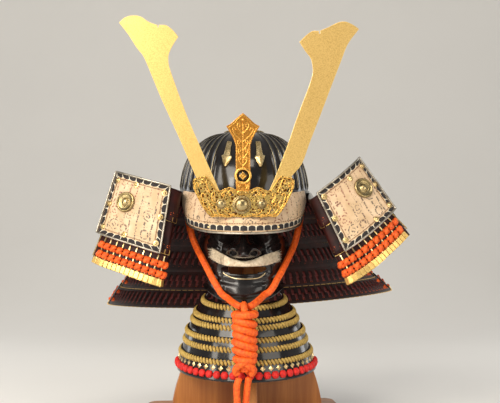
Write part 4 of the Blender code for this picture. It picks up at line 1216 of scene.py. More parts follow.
edge_route, edge_out = [], []
for s in PEAK_ACROSS:
    edge = peak_point(s, 1.0)
    away = (edge - peak_point(s, 0.97)).normalized()
    edge_route.append(edge + away * (RIM_RADIUS + GAP + 0.0004))
    edge_out.append(peak_away(s, 0.98))
rim = tube_piece("peak_edging", edge_route, RIM_RADIUS, SILVER, 14, up=edge_out)
as_part(rim, "silver_rim", "peak_rim")

inner, outer = [[peak_point(s, out) for s in PEAK_ACROSS] for out in (0.86, 0.975)]
block_band = strip_piece("peak_blocks", inner, outer, [peak_away(s, 0.92) for s in PEAK_ACROSS])
as_part(block_band, "printed_leather")

UP, BACK = Vector((0, 0, 1)), Vector((0, 1, 0))


def build_stitch(name):
    """One lacing stitch: a short plump bar lying along X, rounded at its ends."""
    route = [(-1.0, 0, -0.25), (-0.8, 0, 0.15), (-0.4, 0, 0.38), (0, 0, 0.45), (0.4, 0, 0.38), (0.8, 0, 0.15),
             (1.0, 0, -0.25)]
    return tube_piece(name, route, [0.18, 0.36, 0.44, 0.46, 0.44, 0.36, 0.18], STITCH_SILK, 5, up=UP)


STITCH = unit_piece("stitch", build_stitch)
STITCHES = 66
STITCH_LINE, STUD_LINE = 0.82, 0.93
stitch_spots, studs = [], []
for k in range(STITCHES):
    share = -0.98 + 1.96 * (k + 0.5) / STITCHES
    along = (peak_point(share + 0.008, STITCH_LINE) - peak_point(share - 0.008, STITCH_LINE)).normalized()
    stitch_spots.append((peak_point(share, STITCH_LINE, 0.0002), along, peak_away(share, STITCH_LINE)))
row_part("orange_cord", "peak_stitches", STITCH, stitch_spots, STITCH_SILK, 0.0014)
for share in (-0.42, 0.42):
    along = peak_point(share + 0.01, STUD_LINE) - peak_point(share, STUD_LINE)
    studs.append((peak_point(share, STUD_LINE, 0.0006), along, peak_away(share, STUD_LINE)))
row_part("aged_brass", "peak_studs", BEAD, studs, BRIGHT_BRASS, 0.0023)
print("peak faces", len(peak.data.polygons), "stitches", STITCHES)

# %% [markdown]
# ## The crest
#
# The crest is three layers of gilt sheet. At the back are the two horns, flat and matte, with a
# small notch in each head. In front of them stands the base, pierced and chased with scrolling
# tendrils. In front of that are the bosses, a clip and the tall centre plate, engraved with a
# border and tendrils and carrying a ring with a lozenge. Each outline is a smooth closed curve
# through chosen points, filled with Blender's curve fill and given a thickness and a bevel.

# %% Outline plates
CREST_Y = -0.1655
CREST_SHEET = 0.0018
HORN_SIDE = metres({
    # side: outline from the outer foot up round the head and down the inner edge (x, z)
    "left": [
        (-585, 3700), (-740, 4100), (-1010, 4730), (-1300, 5370), (-1545, 5960), (-1670, 6130),
        (-1792, 6325), (-1945, 6523), (-1860, 6600), (-1740, 6636), (-1610, 6618), (-1480, 6535),
        (-1346, 6485), (-1345, 6445), (-1327, 6452), (-1320, 6488), (-1215, 6484), (-1110, 6410),
        (-1021, 6304), (-1100, 6180), (-1160, 6060), (-1177, 5945), (-1135, 5750), (-900, 5110),
        (-650, 4520), (-405, 3960), (-340, 3790), (-400, 3680),
    ],
    "right": [
        (590, 3700), (720, 4075), (905, 4310), (1030, 4640), (1200, 5080), (1390, 5580), (1516, 5905),
        (1627, 6185), (1803, 6425), (1710, 6490), (1590, 6540), (1466, 6523), (1330, 6455), (1195, 6398),
        (1200, 6355), (1180, 6350), (1172, 6395), (1067, 6389), (960, 6310), (871, 6221), (970, 6070),
        (1040, 5980), (1070, 5881), (1065, 5660), (850, 5080), (640, 4480), (480, 4080), (350, 3790),
        (400, 3680),
    ],
})
HORN_CORNERS = {
    # the outline's sharp points, by place in its list
    "left": {0, 7, 12, 13, 14, 15, 18, 26, 27},
    "right": {0, 8, 13, 14, 15, 16, 19, 27, 28},
}
WELD = 0.00001


def rounded_outline(points, corners, steps=6):
    """A closed outline made smooth between its sharp corners."""
    count = len(points)
    marks = sorted(corners)
    out = []
    for a, b in zip(marks, marks[1:] + [marks[0] + count]):
        stretch = [points[i % count] for i in range(a, b + 1)]
        if len(stretch) == 2:
            out.append(stretch[0])
            continue
        route = smooth_route([(x, z, 0.0) for x, z in stretch], steps * (len(stretch) - 1) + 1)
        out += [(p.x, p.y) for p in route[:-1]]
    return out


def cut_sheet(name, outlines, thick, material, place, bevel, rounds):
    """Flat outlines (border first, then holes) filled as a sheet of a real thickness with eased edges."""
    data = bpy.data.curves.new(name, "CURVE")
    data.dimensions, data.fill_mode = "2D", "BOTH"
    data.extrude, data.offset = thick / 2 - bevel, -bevel
    data.bevel_depth, data.bevel_resolution = bevel, rounds
    for outline in outlines:
        spline = data.splines.new("POLY")
        spline.points.add(len(outline) - 1)
        for point, (x, y) in zip(spline.points, outline):
            point.co = (x, y, 0.0, 1.0)
        spline.use_cyclic_u = True
    obj = made_real(linked(name, data))
    obj.data.transform(place)
    obj.data.materials.clear()
    obj.data.materials.append(material)
    outward(obj, WELD)
    obj.data.polygons.foreach_set("use_smooth", [False] * len(obj.data.polygons))
    return obj


def facing_front(x, y, z):
    """The placement of a flat thing that stands up and looks forward."""
    return Matrix.Translation((x, y, z)) @ STANDING


def plate_piece(name, outlines, front, thick, material, bevel=0.00035):
    """Outlines cut from a standing sheet whose front face is at y = front."""
    return cut_sheet(name, outlines, thick, material, facing_front(0, front + thick / 2, 0), bevel, 1)


HORN_FRONT = CREST_Y + CREST_SHEET + GAP
for side, outline in HORN_SIDE.items():
    smooth = rounded_outline(outline, HORN_CORNERS[side])
    horn = plate_piece("horn_plate_" + side, [smooth], HORN_FRONT, CREST_SHEET, GILT_MATTE)
    as_part(horn, "gilt_matte", "horn_" + side)
print("horn outline points", len(smooth))

# %% Crest base with its tendrils
def make_openwork(name):
    """Gilding chased all over with small scrolls: bright ridges round dark little hollows."""
    r = Recipe(name, (0.98, 0.6, 0.15), 0.24, 1.0)
    bent = r.wavering(r.place(), 140.0, 0.0028)
    hollow = r.spread(r.cells(215.0, bent, feature="DISTANCE_TO_EDGE"), 0.13, 0.22)
    r.feed("Base Color", r.tint(hollow, (1.0, 0.68, 0.2), (0.1, 0.032, 0.005)))
    r.feed("Roughness", r.spread(hollow, 0.0, 1.0, 0.22, 0.55))
    r.bump(r.times(hollow, -1.0), 0.0006, 1.0)
    return r.material


GILT_OPENWORK = make_openwork("gilt_openwork")
CREST_BASE_HALF = metres([
    # (x, z) of the border from the bottom middle to the top middle; mirrored for the other half
    (0, 3478), (130, 3492), (260, 3478), (400, 3492), (490, 3480), (560, 3530), (640, 3640), (720, 3790),
    (790, 3950), (785, 4080), (700, 4105), (590, 4130), (510, 4020), (430, 3900), (350, 3905), (290, 3935),
    (210, 3955), (130, 3920), (60, 3900),
])
CREST_HOLES = [
    # (x, z, length, width, lean); mirrored
    (0.0185, 0.3845, 0.0075, 0.0036, 35), (0.0155, 0.356, 0.008, 0.0034, -10),
    (0.044, 0.359, 0.0078, 0.0036, 30), (0.0455, 0.377, 0.0085, 0.0036, 60),
    (0.056, 0.374, 0.0085, 0.0036, 55), (0.0585, 0.3905, 0.0085, 0.0038, 60),
    (0.069, 0.39, 0.0085, 0.0036, 65), (0.066, 0.4025, 0.007, 0.0034, 20),
]
CREST_CORNERS = {0, 2, 4, 8, 11, 13, 18}
BASE_MIDDLE_Z = 0.379
TENDRILS = metres([
    # (x, z) points of each raised scroll on the right half; mirrored on the left
    [(130, 3535), (200, 3525), (270, 3560), (290, 3610), (262, 3632), (244, 3608)],
    [(270, 3515), (350, 3520), (400, 3560), (420, 3640), (390, 3680), (360, 3660)],
    [(400, 3520), (475, 3530), (530, 3600), (540, 3665), (510, 3695), (482, 3672)],
    [(560, 3600), (620, 3680), (640, 3760), (660, 3830), (630, 3860), (605, 3835)],
    [(440, 3700), (480, 3740), (500, 3810), (480, 3860), (450, 3850), (455, 3820)],
    [(680, 3780), (740, 3870), (760, 3960), (735, 4020), (700, 4000), (708, 3968)],
    [(530, 3860), (560, 3940), (590, 4020), (620, 4080), (650, 4060), (640, 4030)],
    [(120, 3860), (180, 3900), (230, 3890), (250, 3850), (225, 3825), (203, 3842)],
    [(255, 3905), (300, 3885), (340, 3845), (330, 3810), (300, 3815), (305, 3838)],
])


def leaf_hole(x, z, length, width, lean):
    """A pointed leaf-shaped hole: its middle, length, width and lean in degrees."""
    turn = math.radians(lean)
    out = []
    for a in angles(14):
        u = math.cos(a) * length / 2
        v = math.sin(a) * width / 2 * (0.75 + 0.25 * math.cos(a))
        out.append((x + u * math.cos(turn) - v * math.sin(turn), z + u * math.sin(turn) + v * math.cos(turn)))
    return out


def bead_at(place, radius, material):
    return bead_piece("bead", material, 3, 0.8, facing_front(*place) @ Matrix.Scale(radius, 4))


def scroll_tubes(name, scrolls, front, radius, material):
    """Raised tendrils on both halves, thick at the root and thin at the curl, half sunk in the face."""
    parts = []
    for scroll in scrolls:
        for sign in (1.0, -1.0):
            route = smooth_route([(sign * x, front - radius * 0.15, z) for x, z in scroll], 26)
            radii = [radius * (1.0 - 0.45 * i / 25) * (0.35 if i in (0, 25) else 1.0) for i in range(26)]
            parts.append(tube_piece(name, route, radii, material, 8, up=BACK, flat=0.75))
            parts.append(bead_at(route[-1], radius * 1.35, material))
    return joined(name, parts)


def mirrored_outline(half, corners):
    """The whole outline of something symmetrical, from its right half and that half's sharp points."""
    whole = half + [(-x, z) for x, z in reversed(half) if x > 0]
    turn = len(whole) if half[0][0] == 0 else len(whole) - 1
    both = corners | {turn - c for c in corners if turn - c < len(whole)}
    return rounded_outline(whole, both, 5)


border = mirrored_outline(CREST_BASE_HALF, CREST_CORNERS)
holes = []
for x, z, length, width, lean in CREST_HOLES:
    holes += [leaf_hole(x, z, length, width, lean), leaf_hole(-x, z, length, width, 180 - lean)]
base_plate = plate_piece("crest_sheet", [border] + holes, CREST_Y, CREST_SHEET, GILT_OPENWORK, 0.0003)
edge_route = [(x * 0.975, CREST_Y - 0.0001, BASE_MIDDLE_Z + (z - BASE_MIDDLE_Z) * 0.955) for x, z in border]
edge_tube = tube_piece("crest_border", edge_route, 0.0006, GILT_ENGRAVED, 8, closed=True, up=BACK)
tendrils = scroll_tubes("crest_tendrils", TENDRILS, CREST_Y, 0.001, GILT_ENGRAVED)
crest = joined("crest_base_chased", [base_plate, edge_tube, tendrils])
as_part(crest, "gilt_engraved", "crest_base")
print("crest base faces", len(crest.data.polygons))

# %% Centre plate, ring and clip
PLATE_X = -0.001
PLATE_MIDDLE_Z = 0.45
PLATE_FRONT = CREST_Y - CREST_SHEET - GAP
PLATE_HALF = metres([
    # (x, z) from the foot up to the apex
    (100, 3903), (112, 4050), (112, 4600), (125, 4640), (165, 4740), (262, 4905), (180, 4950), (90, 5035),
    (0, 5111),
])
PLATE_CORNERS = {0, 2, 5, 8}
PLATE_SCROLLS = metres([
    # raised tendrils on the right half of the plate, from the foot up
    [(0, 4280), (40, 4330), (66, 4385), (55, 4425), (30, 4410), (40, 4385)],
    [(0, 4400), (45, 4455), (72, 4510), (60, 4555), (32, 4535), (42, 4512)],
    [(0, 4530), (46, 4580), (80, 4640), (70, 4690), (38, 4668), (50, 4640)],
    [(0, 4660), (60, 4715), (120, 4775), (160, 4850), (135, 4880), (110, 4850)],
    [(0, 4790), (50, 4840), (88, 4900), (80, 4950), (45, 4930), (52, 4900)],
    [(50, 3930), (72, 3965), (66, 4000), (40, 3990), (48, 3968)],
])
outline = [(PLATE_X + x, z) for x, z in mirrored_outline(PLATE_HALF, PLATE_CORNERS)]
plate = plate_piece("centre_sheet", [outline], PLATE_FRONT, CREST_SHEET, GILT_DEEP, 0.0003)
inset = [(PLATE_X + (x - PLATE_X) * 0.86, PLATE_FRONT - 0.0001, PLATE_MIDDLE_Z + (z - PLATE_MIDDLE_Z) * 0.965)
         for x, z in outline]
plate_border = tube_piece("centre_border", inset, 0.00055, GILT_ENGRAVED, 8, closed=True, up=BACK)
scrolls = scroll_tubes("centre_scrolls", PLATE_SCROLLS, PLATE_FRONT, 0.00085, GILT_ENGRAVED)
scrolls.data.transform(Matrix.Translation((PLATE_X, 0, 0)))
stem_route = [(PLATE_X, PLATE_FRONT, z / 1000) for z in range(424, 500, 4)]
stem = tube_piece("centre_stem", stem_route, 0.0007, GILT_ENGRAVED, 8, up=BACK)
bud = bead_at((PLATE_X, PLATE_FRONT, 0.5005), 0.0024, GILT_ENGRAVED)
as_part(joined("centre_plate", [plate, plate_border, scrolls, stem, bud]), "gilt_engraved", "crest_plate")

RING_Z = 0.413
RING_PROFILE = metres([
    (112, 30), (124, 28), (133, 18), (136, 3), (90, 3), (92, 18), (100, 28),
])
GROUND_PROFILE = metres([(0, 8), (92, 8), (92, 3), (0, 3)])
LOZENGE_STEPS = metres(((66, 8), (62, 20), (44, 22), (40, 14)))
ring_place = facing_front(PLATE_X, PLATE_FRONT, RING_Z)
ring = outward(turned_piece("ring_outer", RING_PROFILE, 64, GILT_ENGRAVED, ring_place, closed=True))
ground = outward(turned_piece("ring_ground", GROUND_PROFILE, 64, LACQUER, ring_place))
lozenge_points = [(PLATE_X + dx * size * 0.96, PLATE_FRONT - rise, RING_Z + dz * size)
                  for size, rise in LOZENGE_STEPS for dx, dz in ((1, 0), (0, 1), (-1, 0), (0, -1))]
lozenge_faces = ring_faces(4, 4) + [(12, 13, 14, 15), (3, 2, 1, 0)]
lozenge = outward(mesh_piece("ring_lozenge", lozenge_points, lozenge_faces, GILT_ENGRAVED, smooth=False))
centre_bead = bead_at((PLATE_X, PLATE_FRONT - 0.0012, RING_Z), 0.0016, GILT_ENGRAVED)
as_part(joined("ring_with_lozenge", [ring, ground, lozenge, centre_bead]), "gilt_engraved", "crest_ring")

CLIP_OUTLINE = metres([
    (-75, 3834), (75, 3834), (90, 3868), (70, 3899), (-70, 3899), (-90, 3868),
])
CLIP_THICK = 0.004
CLIP_FRONT = CREST_Y - GAP - CLIP_THICK
outline = [(PLATE_X + x, z) for x, z in CLIP_OUTLINE]
clip = plate_piece("clip_plate", [outline], CLIP_FRONT, CLIP_THICK, GILT_ENGRAVED, 0.0006)
pins = [bead_at((PLATE_X + x, CLIP_FRONT, 0.3868), 0.001, BRIGHT_BRASS) for x in (-0.0045, 0.0045)]
as_part(joined("crest_clip_pinned", [clip] + pins), "gilt_engraved", "crest_clip")
print("centre plate ready")

# %% Bosses
BOSSES = metres([
    # (name, x, z, washer radius, dome radius, height)
    ("centre", -28, 3680, 148, 104, 85), ("left", -349, 3690, 82, 66, 60), ("right", 283, 3690, 82, 66, 60),
])


def build_boss(name, x, z, washer, dome, height):
    """A hammered dome on a washer with a row of beads round it."""
    place = facing_front(x, CREST_Y - GAP, z)
    profile = [(0.0, height)]
    for k in range(1, 11):
        a = math.pi / 2 * k / 10
        profile.append((dome * math.sin(a), 0.0024 + (height - 0.0024) * math.cos(a)))
    profile += [(dome * 1.02, 0.0018), (dome * 1.06, 0.0014), (washer * 0.94, 0.0014),
                (washer * 0.985, 0.0012), (washer, 0.0006), (washer * 0.985, 0.0), (0.0, 0.0)]
    dome_piece = outward(turned_piece("boss_dome_" + name, profile, 48, BRASS, place))
    middle = (washer + dome * 1.04) / 2
    spots = []
    for a in angles(int(2 * math.pi * middle / 0.0024)):
        spot = place @ Vector((middle * math.cos(a), middle * math.sin(a), 0.0014))
        spots.append((spot, Vector((math.cos(a), 0, math.sin(a))), -BACK))
    beads = set_in_rows("boss_beads_" + name, BEAD, spots, BRASS, min(0.00115, (washer - dome) * 0.42))
    return joined("boss_beaded_" + name, [dome_piece, beads])


for boss in BOSSES:
    as_part(build_boss(*boss), "aged_brass", "boss_" + boss[0])
print("bosses", len(BOSSES))
# %% [markdown]
# ## The neck guard
#
# Five flaring lames hang from the bowl, each lacquered black outside and dark red inside, the red
# darkened further as painted shade, and laced to the next with silk. The upper three run forward
# past the cheeks and are turned back on themselves, so their inner faces look forward: two rows of
# orange knots, a gilded row of scale heads, and on the upper part a panel covered with the printed
# leather. The guard is lofted from one master surface, so every lame, panel, knot and rivet is
# placed by (station, lame edge).

# %% Guard surface
NECK_LAMES = 5
TURNED_LAMES = 3
LAME_WALL = 0.002
LAME_LAP = 0.16
LAME_STEP = 0.003
LAME_ROWS = 8
LAME_SWELL = 0.0004
GUARD_ROLL = 0.05
GUARD_WRAP = [
    # (lame edge, middle x, beyond the bowl's half-width, beyond its half-depth, z at the sides, at the back)
    (0.0, 0.0, 0.0036, 0.0037, 0.388, 0.385),
    (3.0, 0.003, 0.0745, 0.068, 0.27, 0.24),
    (5.0, 0.0095, 0.119, 0.11, 0.2235, 0.168),
]
TURNBACK = metres({
    # rows from the outer corner in to the fold: (x, y, z) at the top edge, (x, y, z) at lame 3's lower edge
    "left": [
        (-2070, -700, 4195, -2520, -850, 2760), (-1900, -850, 4150, -2310, -1000, 2680),
        (-1510, -1050, 4045, -1855, -1220, 2545), (-1220, -1110, 3970, -1480, -1290, 2420),
        (-1060, -1090, 3915, -1300, -1270, 2370), (-1000, -1010, 3890, -1255, -1170, 2355),
        (-1010, -850, 3880, -1310, -980, 2400), (-1050, -560, 3880, -1490, -700, 2480),
    ],
    "right": [
        (1870, -700, 4415, 2730, -850, 3210), (1770, -850, 4320, 2540, -1000, 3030),
        (1500, -1050, 4090, 2180, -1220, 2740), (1250, -1110, 3895, 1880, -1290, 2535),
        (1105, -1090, 3785, 1680, -1270, 2420), (1050, -1010, 3760, 1600, -1170, 2385),
        (1045, -850, 3790, 1600, -980, 2440), (1070, -560, 3850, 1650, -700, 2580),
    ],
})
WRAP_SIDE = math.radians(100.0)
FRONT_STEPS = 48
WRAP_STEPS = 100


def wrap_point(turn, edge):
    """The master surface round the sides and back: turn from the back towards +X."""
    row = between(GUARD_WRAP, edge)
    x = row[1] + (BOWL_HALF_WIDTH + row[2]) * math.sin(turn)
    y = (BOWL_HALF_DEPTH + row[3]) * math.cos(turn)
    back = 0.5 + 0.5 * math.cos(turn)
    return Vector((x, y, row[4] + (row[5] - row[4]) * back ** 1.5 + GUARD_ROLL * x * edge / NECK_LAMES))


def front_pairs(side, sign):
    """Points at the top edge and at lame 3's lower edge, from the outer corner to the wrap."""
    table = TURNBACK[side]
    joins = []
    for column, edge in ((0, 0.0), (3, 3.0)):
        chosen = [Vector(row[column:column + 3]) for row in table] + [wrap_point(sign * WRAP_SIDE, edge)]
        joins.append(smooth_route(chosen, FRONT_STEPS + 1)[:-1])
    return list(zip(*joins))


left_pairs = front_pairs("left", -1.0)
FIRST_WRAP = len(left_pairs)
LAST_WRAP = FIRST_WRAP + WRAP_STEPS


def wrap_turn(i):
    """The turn of a station round the wrap."""
    return -WRAP_SIDE + 2 * WRAP_SIDE * (i - FIRST_WRAP) / WRAP_STEPS


wrap_pairs = [tuple(wrap_point(wrap_turn(i), edge) for edge in (0.0, 3.0))
              for i in range(FIRST_WRAP, LAST_WRAP + 1)]
STATIONS = left_pairs + wrap_pairs + front_pairs("right", 1.0)[::-1]


def station_point(at, edge):
    """A point of the master surface at a station (whole or between two) and a lame edge."""
    low = min(int(at), len(STATIONS) - 2)

    def one(i):
        top, foot = STATIONS[i]
        return top.lerp(foot, edge / 3.0) if edge <= 3.0 else wrap_point(wrap_turn(i), edge)

    return one(low).lerp(one(low + 1), at - low)


def guard_frame(at, edge):
    """(along, out): unit vectors along the lame and away from the head on the wrap."""
    held = min(edge, 3.0)
    low, high = max(at - 1.5, 0.0), min(at + 1.5, len(STATIONS) - 1.0)
    along = (station_point(high, held) - station_point(low, held)).normalized()
    down = station_point(at, held) - station_point(at, held - 0.5)
    return along, along.cross(down).normalized()


def lifted(at, edge, lift):
    return station_point(at, edge) + guard_frame(at, edge)[1] * lift


def lame_face(number):
    """How far a lame's outer face stands off the master surface."""
    return (number - 1) * LAME_STEP + LAME_WALL


def build_lame(number):
    top = number - 1 - LAME_LAP if number > 1 else 0.0
    stations = range(len(STATIONS)) if number <= TURNED_LAMES else range(FIRST_WRAP, LAST_WRAP + 1)
    grid = []
    for k in range(LAME_ROWS + 1):
        edge = top + (number - top) * k / LAME_ROWS
        lift = lame_face(number) - LAME_SWELL + LAME_SWELL * math.sin(math.pi * k / LAME_ROWS)
        grid.append([lifted(i, edge, lift) for i in stations])
    return sheet_piece("guard_lame_%d" % number, grid, LAME_WALL - 0.0002, LACQUER, SHADED_LAME_INSIDE)


def make_shaded_lame_inside(name):
    """The lames' inner faces: dark red lacquer darkened further as painted shade, with a cloudy tone."""
    r = Recipe(name, (0.02, 0.003, 0.003), 0.42, Specular_IOR_Level=0.22)
    cloud = r.noise(50.0, 4.0)
    # Both colours hold the red lacquer near black as painted shade; the cloud between them is random tone.
    r.feed("Base Color", r.tint(r.spread(cloud, 0.38, 0.62), (0.01, 0.002, 0.002), (0.034, 0.005, 0.004)))
    r.feed("Roughness", r.spread(r.noise(600.0), 0.3, 0.7, 0.34, 0.55))
    r.bump(r.noise(320.0, 3.0), 0.0002, 0.35)
    return r.material


SHADED_LAME_INSIDE = make_shaded_lame_inside("lame_inside")
print("stations", len(STATIONS))

# %% Lames
for number in range(1, NECK_LAMES + 1):
    as_part(outward(build_lame(number)), "black_lacquer", "neck_lame_%d" % number)
print("lames", NECK_LAMES)

# %% [markdown]
# ## Lacing units
#
# The silk shows in three ways. On the turned-back faces each lace makes a plump crossed knot.
# Between lames it hangs as flat braids in pairs. On the throat guard it runs in rows of slanting
# stitches, which look like twisted cord. Each is one small mesh, set along the
# lames by the scatter tree.


# %% Knot, braid and scale-head units
def build_knot_unit(name):
    """A crossed lacing knot, one unit wide: one plump strand slanting over another."""
    parts = []
    for sign, rise in ((1, 0.2), (-1, 0.06)):
        route = [(-0.29 * sign, -0.29, -0.1), (-0.19 * sign, -0.19, rise), (0, 0, rise + 0.1),
                 (0.19 * sign, 0.19, rise), (0.29 * sign, 0.29, -0.1)]
        radii = [0.25 * 0.7, 0.25, 0.25, 0.25, 0.25 * 0.7]
        parts.append(tube_piece("strand", route, radii, LACING_ORANGE, 6, up=UP, flat=0.8))
    return joined(name, parts)


def build_flat_braid(name):
    """A hanging lace, one unit long and about a third wide: two plaited strands lying flat."""
    across = [-0.17 + 0.34 * k / 3 for k in range(4)]
    grid = [[Vector((x, 0.5 - i / 4, 0.07 + 0.05 * (i % 2) - 1.2 * x * x)) for x in across] for i in range(5)]
    return outward(sheet_piece(name, grid, 0.06, LACING_ORANGE))


def build_scale_head(name):
    """The gilt head of one scale, one unit wide: a flat tab with its corners taken off."""
    outline = [(0.47, -0.44), (0.47, 0.4), (0.4, 0.5), (-0.4, 0.5), (-0.47, 0.4), (-0.47, -0.44),
               (-0.4, -0.5), (0.4, -0.5)]
    levels = ((1, 1, -0.05), (1, 1, 0.05), (0.84, 0.88, 0.1))
    points = [(x * a, y * b, z) for a, b, z in levels for x, y in outline]
    faces = [tuple(range(7, -1, -1)), tuple(range(16, 24))] + ring_faces(3, 8)
    return outward(mesh_piece(name, points, faces, GILT_MATTE, smooth=False))


def build_twist_unit(name):
    """One slanting stitch of a laced edge, one unit wide and leaning."""
    route = [(-0.21, 0.38, -0.1), (-0.15, 0.25, 0.08), (0.0, 0.0, 0.13), (0.15, -0.25, 0.08),
             (0.21, -0.38, -0.1)]
    return tube_piece(name, route, [0.1, 0.185, 0.212, 0.185, 0.1], LACING_OCHRE, 6, up=UP, flat=0.8)


def build_lozenge_unit(name):
    """A small raised lozenge, one unit across."""
    points = [(x, y, z) for z in (-0.1, 0.06) for x, y in ((0.5, 0), (0, 0.5), (-0.5, 0), (0, -0.5))]
    faces = [(3, 2, 1, 0)] + ring_faces(2, 4) + [(4 + k, 4 + (k + 1) % 4, 8) for k in range(4)]
    return outward(mesh_piece(name, points + [(0, 0, 0.24)], faces, BRIGHT_BRASS, smooth=False))

KNOT_UNIT = unit_piece("knot_unit", build_knot_unit)
FLAT_BRAID = unit_piece("flat_braid", build_flat_braid)
SCALE_HEAD = unit_piece("scale_head", build_scale_head)
TWIST_UNIT = unit_piece("twist_unit", build_twist_unit)
LOZENGE_UNIT = unit_piece("lozenge_unit", build_lozenge_unit)
print("units", [u.name for u in UNIT_PIECES])


# %% Stations by distance
def spaced_stations(edge, first, last, pitch, start=None):
    """Stations at an even pitch along a lame edge, centred between the two ends."""
    way = 1 if last > first else -1
    lengths = running_lengths([station_point(i, edge) for i in range(first, last + way, way)])
    total = lengths[-1]
    count = max(int(total / pitch), 1)
    lead = (total - (count - 1) * pitch) / 2 if start is None else start
    wants = [lead + k * pitch for k in range(count) if lead + k * pitch <= total]
    return [first + (j + share) * way for j, share in found_at(lengths, wants)]


def guard_spots(edge, first, last, pitch, lift, inner=False, size=(1.0, 1.0, 1.0), start=None):
    """Spots along a lame edge; inner ones face the other way and lift counts from the inner face."""
    spots = []
    for at in spaced_stations(edge, first, last, pitch, start):
        along, out = guard_frame(at, edge)
        spots.append((station_point(at, edge) + out * lift, along, -out if inner else out, size))
    return spots


def guard_rows(edges, *row):
    """The spots of several rows alike, each along its own edge."""
    return [spot for edge in edges for spot in guard_spots(edge, *row)]


SIDE_ENDS = {
    # side: (outer corner's station, the last station of the turned-back face, panel's last station)
    "left": (0, 30, 24),
    "right": (len(STATIONS) - 1, len(STATIONS) - 31, len(STATIONS) - 25),
}
INNER_LIFT = {n: (n - 1) * LAME_STEP - 0.0002 for n in range(1, 6)}
print("stations between the ends", len(STATIONS) - 2)

# %% Turned-back faces of lame 3: knots, gold strips and scale heads
SCALE_PITCH = 0.0129
lift = INNER_LIFT[3]
for side, (corner, fold, _) in SIDE_ENDS.items():
    knots = guard_rows((2.34, 2.64), corner, fold, SCALE_PITCH, lift - 0.0004, True, (1.0, 1.0, 0.8))
    row_part("orange_cord", "turned_knots_" + side, KNOT_UNIT, knots, LACING_ORANGE, 0.0146)
    heads = guard_spots(2.885, corner, fold, 0.0086, lift - 0.0003, True, (1.0, 1.35, 1.0))
    row_part("gilt_matte", "turned_heads_" + side, SCALE_HEAD, heads, GILT_MATTE, 0.0083)
    strips = guard_spots(2.42, corner, fold, SCALE_PITCH, lift - 0.0004, True, (0.3, 4.4, 0.9), start=0.001)
    row_part("gilt_matte", "turned_strips_" + side, SCALE_HEAD, strips, BRIGHT_BRASS, 0.0083)
print("turned-back lacing set")

# %% Leather panels, their blocks, edging, rivets and discs
PANEL_TOP = -0.03
PANEL_LOW = 2.03
PANEL_SEAT = GAP + 0.0004
PANEL_FACE = -(PANEL_SEAT + LEATHER_WALL)

PANEL_RIVETS = {
    # side: (share across the panel from the outer corner, lame edge)
    "left": [(0.095, 0.22), (0.065, 1.02), (0.072, 1.79), (0.457, 0.21), (0.459, 1.82), (0.93, 0.23),
             (0.93, 0.97), (0.93, 1.78)],
    "right": [(0.06, 0.24), (0.05, 0.98), (0.055, 1.8), (0.406, 0.25), (0.38, 1.83), (0.93, 0.2),
              (0.93, 0.98), (0.93, 1.75)],
}
DISC_SPOT = {"left": (0.35, 0.82), "right": (0.29, 0.79)}


def panel_station(side, share):
    corner, _, last = SIDE_ENDS[side]
    return corner + (last - corner) * share


def panel_point(side, share, edge, lift=PANEL_FACE):
    return lifted(panel_station(side, share), edge, lift)


def panel_away(side, share, edge):
    """The way that the panel's leather faces."""
    return -guard_frame(panel_station(side, share), edge)[1]


def build_panel(side):
    rows = [PANEL_TOP + (PANEL_LOW - PANEL_TOP) * k / 20 for k in range(21)]
    shares = [k / 40 for k in range(41)]
    if side == "left":
        shares = shares[::-1]
    grid = [[panel_point(side, s, e) for s in shares] for e in rows]
    return outward(sheet_piece("panel_leather_" + side, grid, LEATHER_WALL, LEATHER_PRINT))


def panel_loop(across, down, per_side=30):
    """A closed route round the panel, inset from its border."""
    low, high = PANEL_TOP + down, PANEL_LOW - down
    corners = [(across, low), (1 - across, low), (1 - across, high), (across, high)]
    return [(a + (b - a) * k / per_side, e + (f - e) * k / per_side)
            for (a, e), (b, f) in zip(corners, corners[1:] + corners[:1]) for k in range(per_side)]


def stitch_row(side):
    """Stitches at an even pitch round the panel, inside its blocks."""
    spots = []
    line = panel_loop(0.092, 0.19)
    for (s, e), (t, f) in zip(line, line[1:] + line[:1]):
        a, b = [panel_point(side, *at, PANEL_FACE - 0.0002) for at in ((s, e), (t, f))]
        count = max(int(round((b - a).length / 0.0034)), 1)
        for k in range(count):
            spots.append((a.lerp(b, (k + 0.5) / count), (b - a).normalized(), panel_away(side, s, e)))
    return spots


def rivet_unit(name):
    """A ring rivet, radius one: a low washer with a domed head."""
    return turned_piece(name, [(0, 0.55), (0.28, 0.48), (0.42, 0.25), (0.5, 0.12), (0.72, 0.2), (0.92, 0.14),
                               (1.0, -0.1), (0, -0.1)], 14, BRIGHT_BRASS)


RIVET = unit_piece("ring_rivet", rivet_unit)

for side in ("left", "right"):
    as_part(build_panel(side), "printed_leather", "turnback_panel_" + side)
    loop = panel_loop(0.0, 0.0)
    route = [panel_point(side, s, e, PANEL_FACE - GAP - 0.0002 - RIM_RADIUS) for s, e in loop]
    ups = [-panel_away(side, s, e) for s, e in loop]
    edging = tube_piece("panel_edging_" + side, route, RIM_RADIUS, SILVER, 12, closed=True, up=ups)
    as_part(outward(edging), "silver_rim", "turnback_rim_" + side)
    inner, outer = [line + line[:1] for line in (panel_loop(0.075, 0.15), panel_loop(0.018, 0.034))]
    routes = [[panel_point(side, s, e) for s, e in line] for line in (inner, outer)]
    blocks = strip_piece("panel_blocks_" + side, *routes, [panel_away(side, s, e) for s, e in outer])
    as_part(blocks, "printed_leather")
    row_part("orange_cord", "panel_stitches_" + side, STITCH, stitch_row(side), STITCH_SILK, 0.0013)
    rivets = []
    for s, e in PANEL_RIVETS[side]:
        along, out = guard_frame(panel_station(side, s), e)
        rivets.append((panel_point(side, s, e, PANEL_FACE - 0.0006), along, -out))
    row_part("aged_brass", "panel_rivets_" + side, RIVET, rivets, BRIGHT_BRASS, 0.0052)
print("panels set")
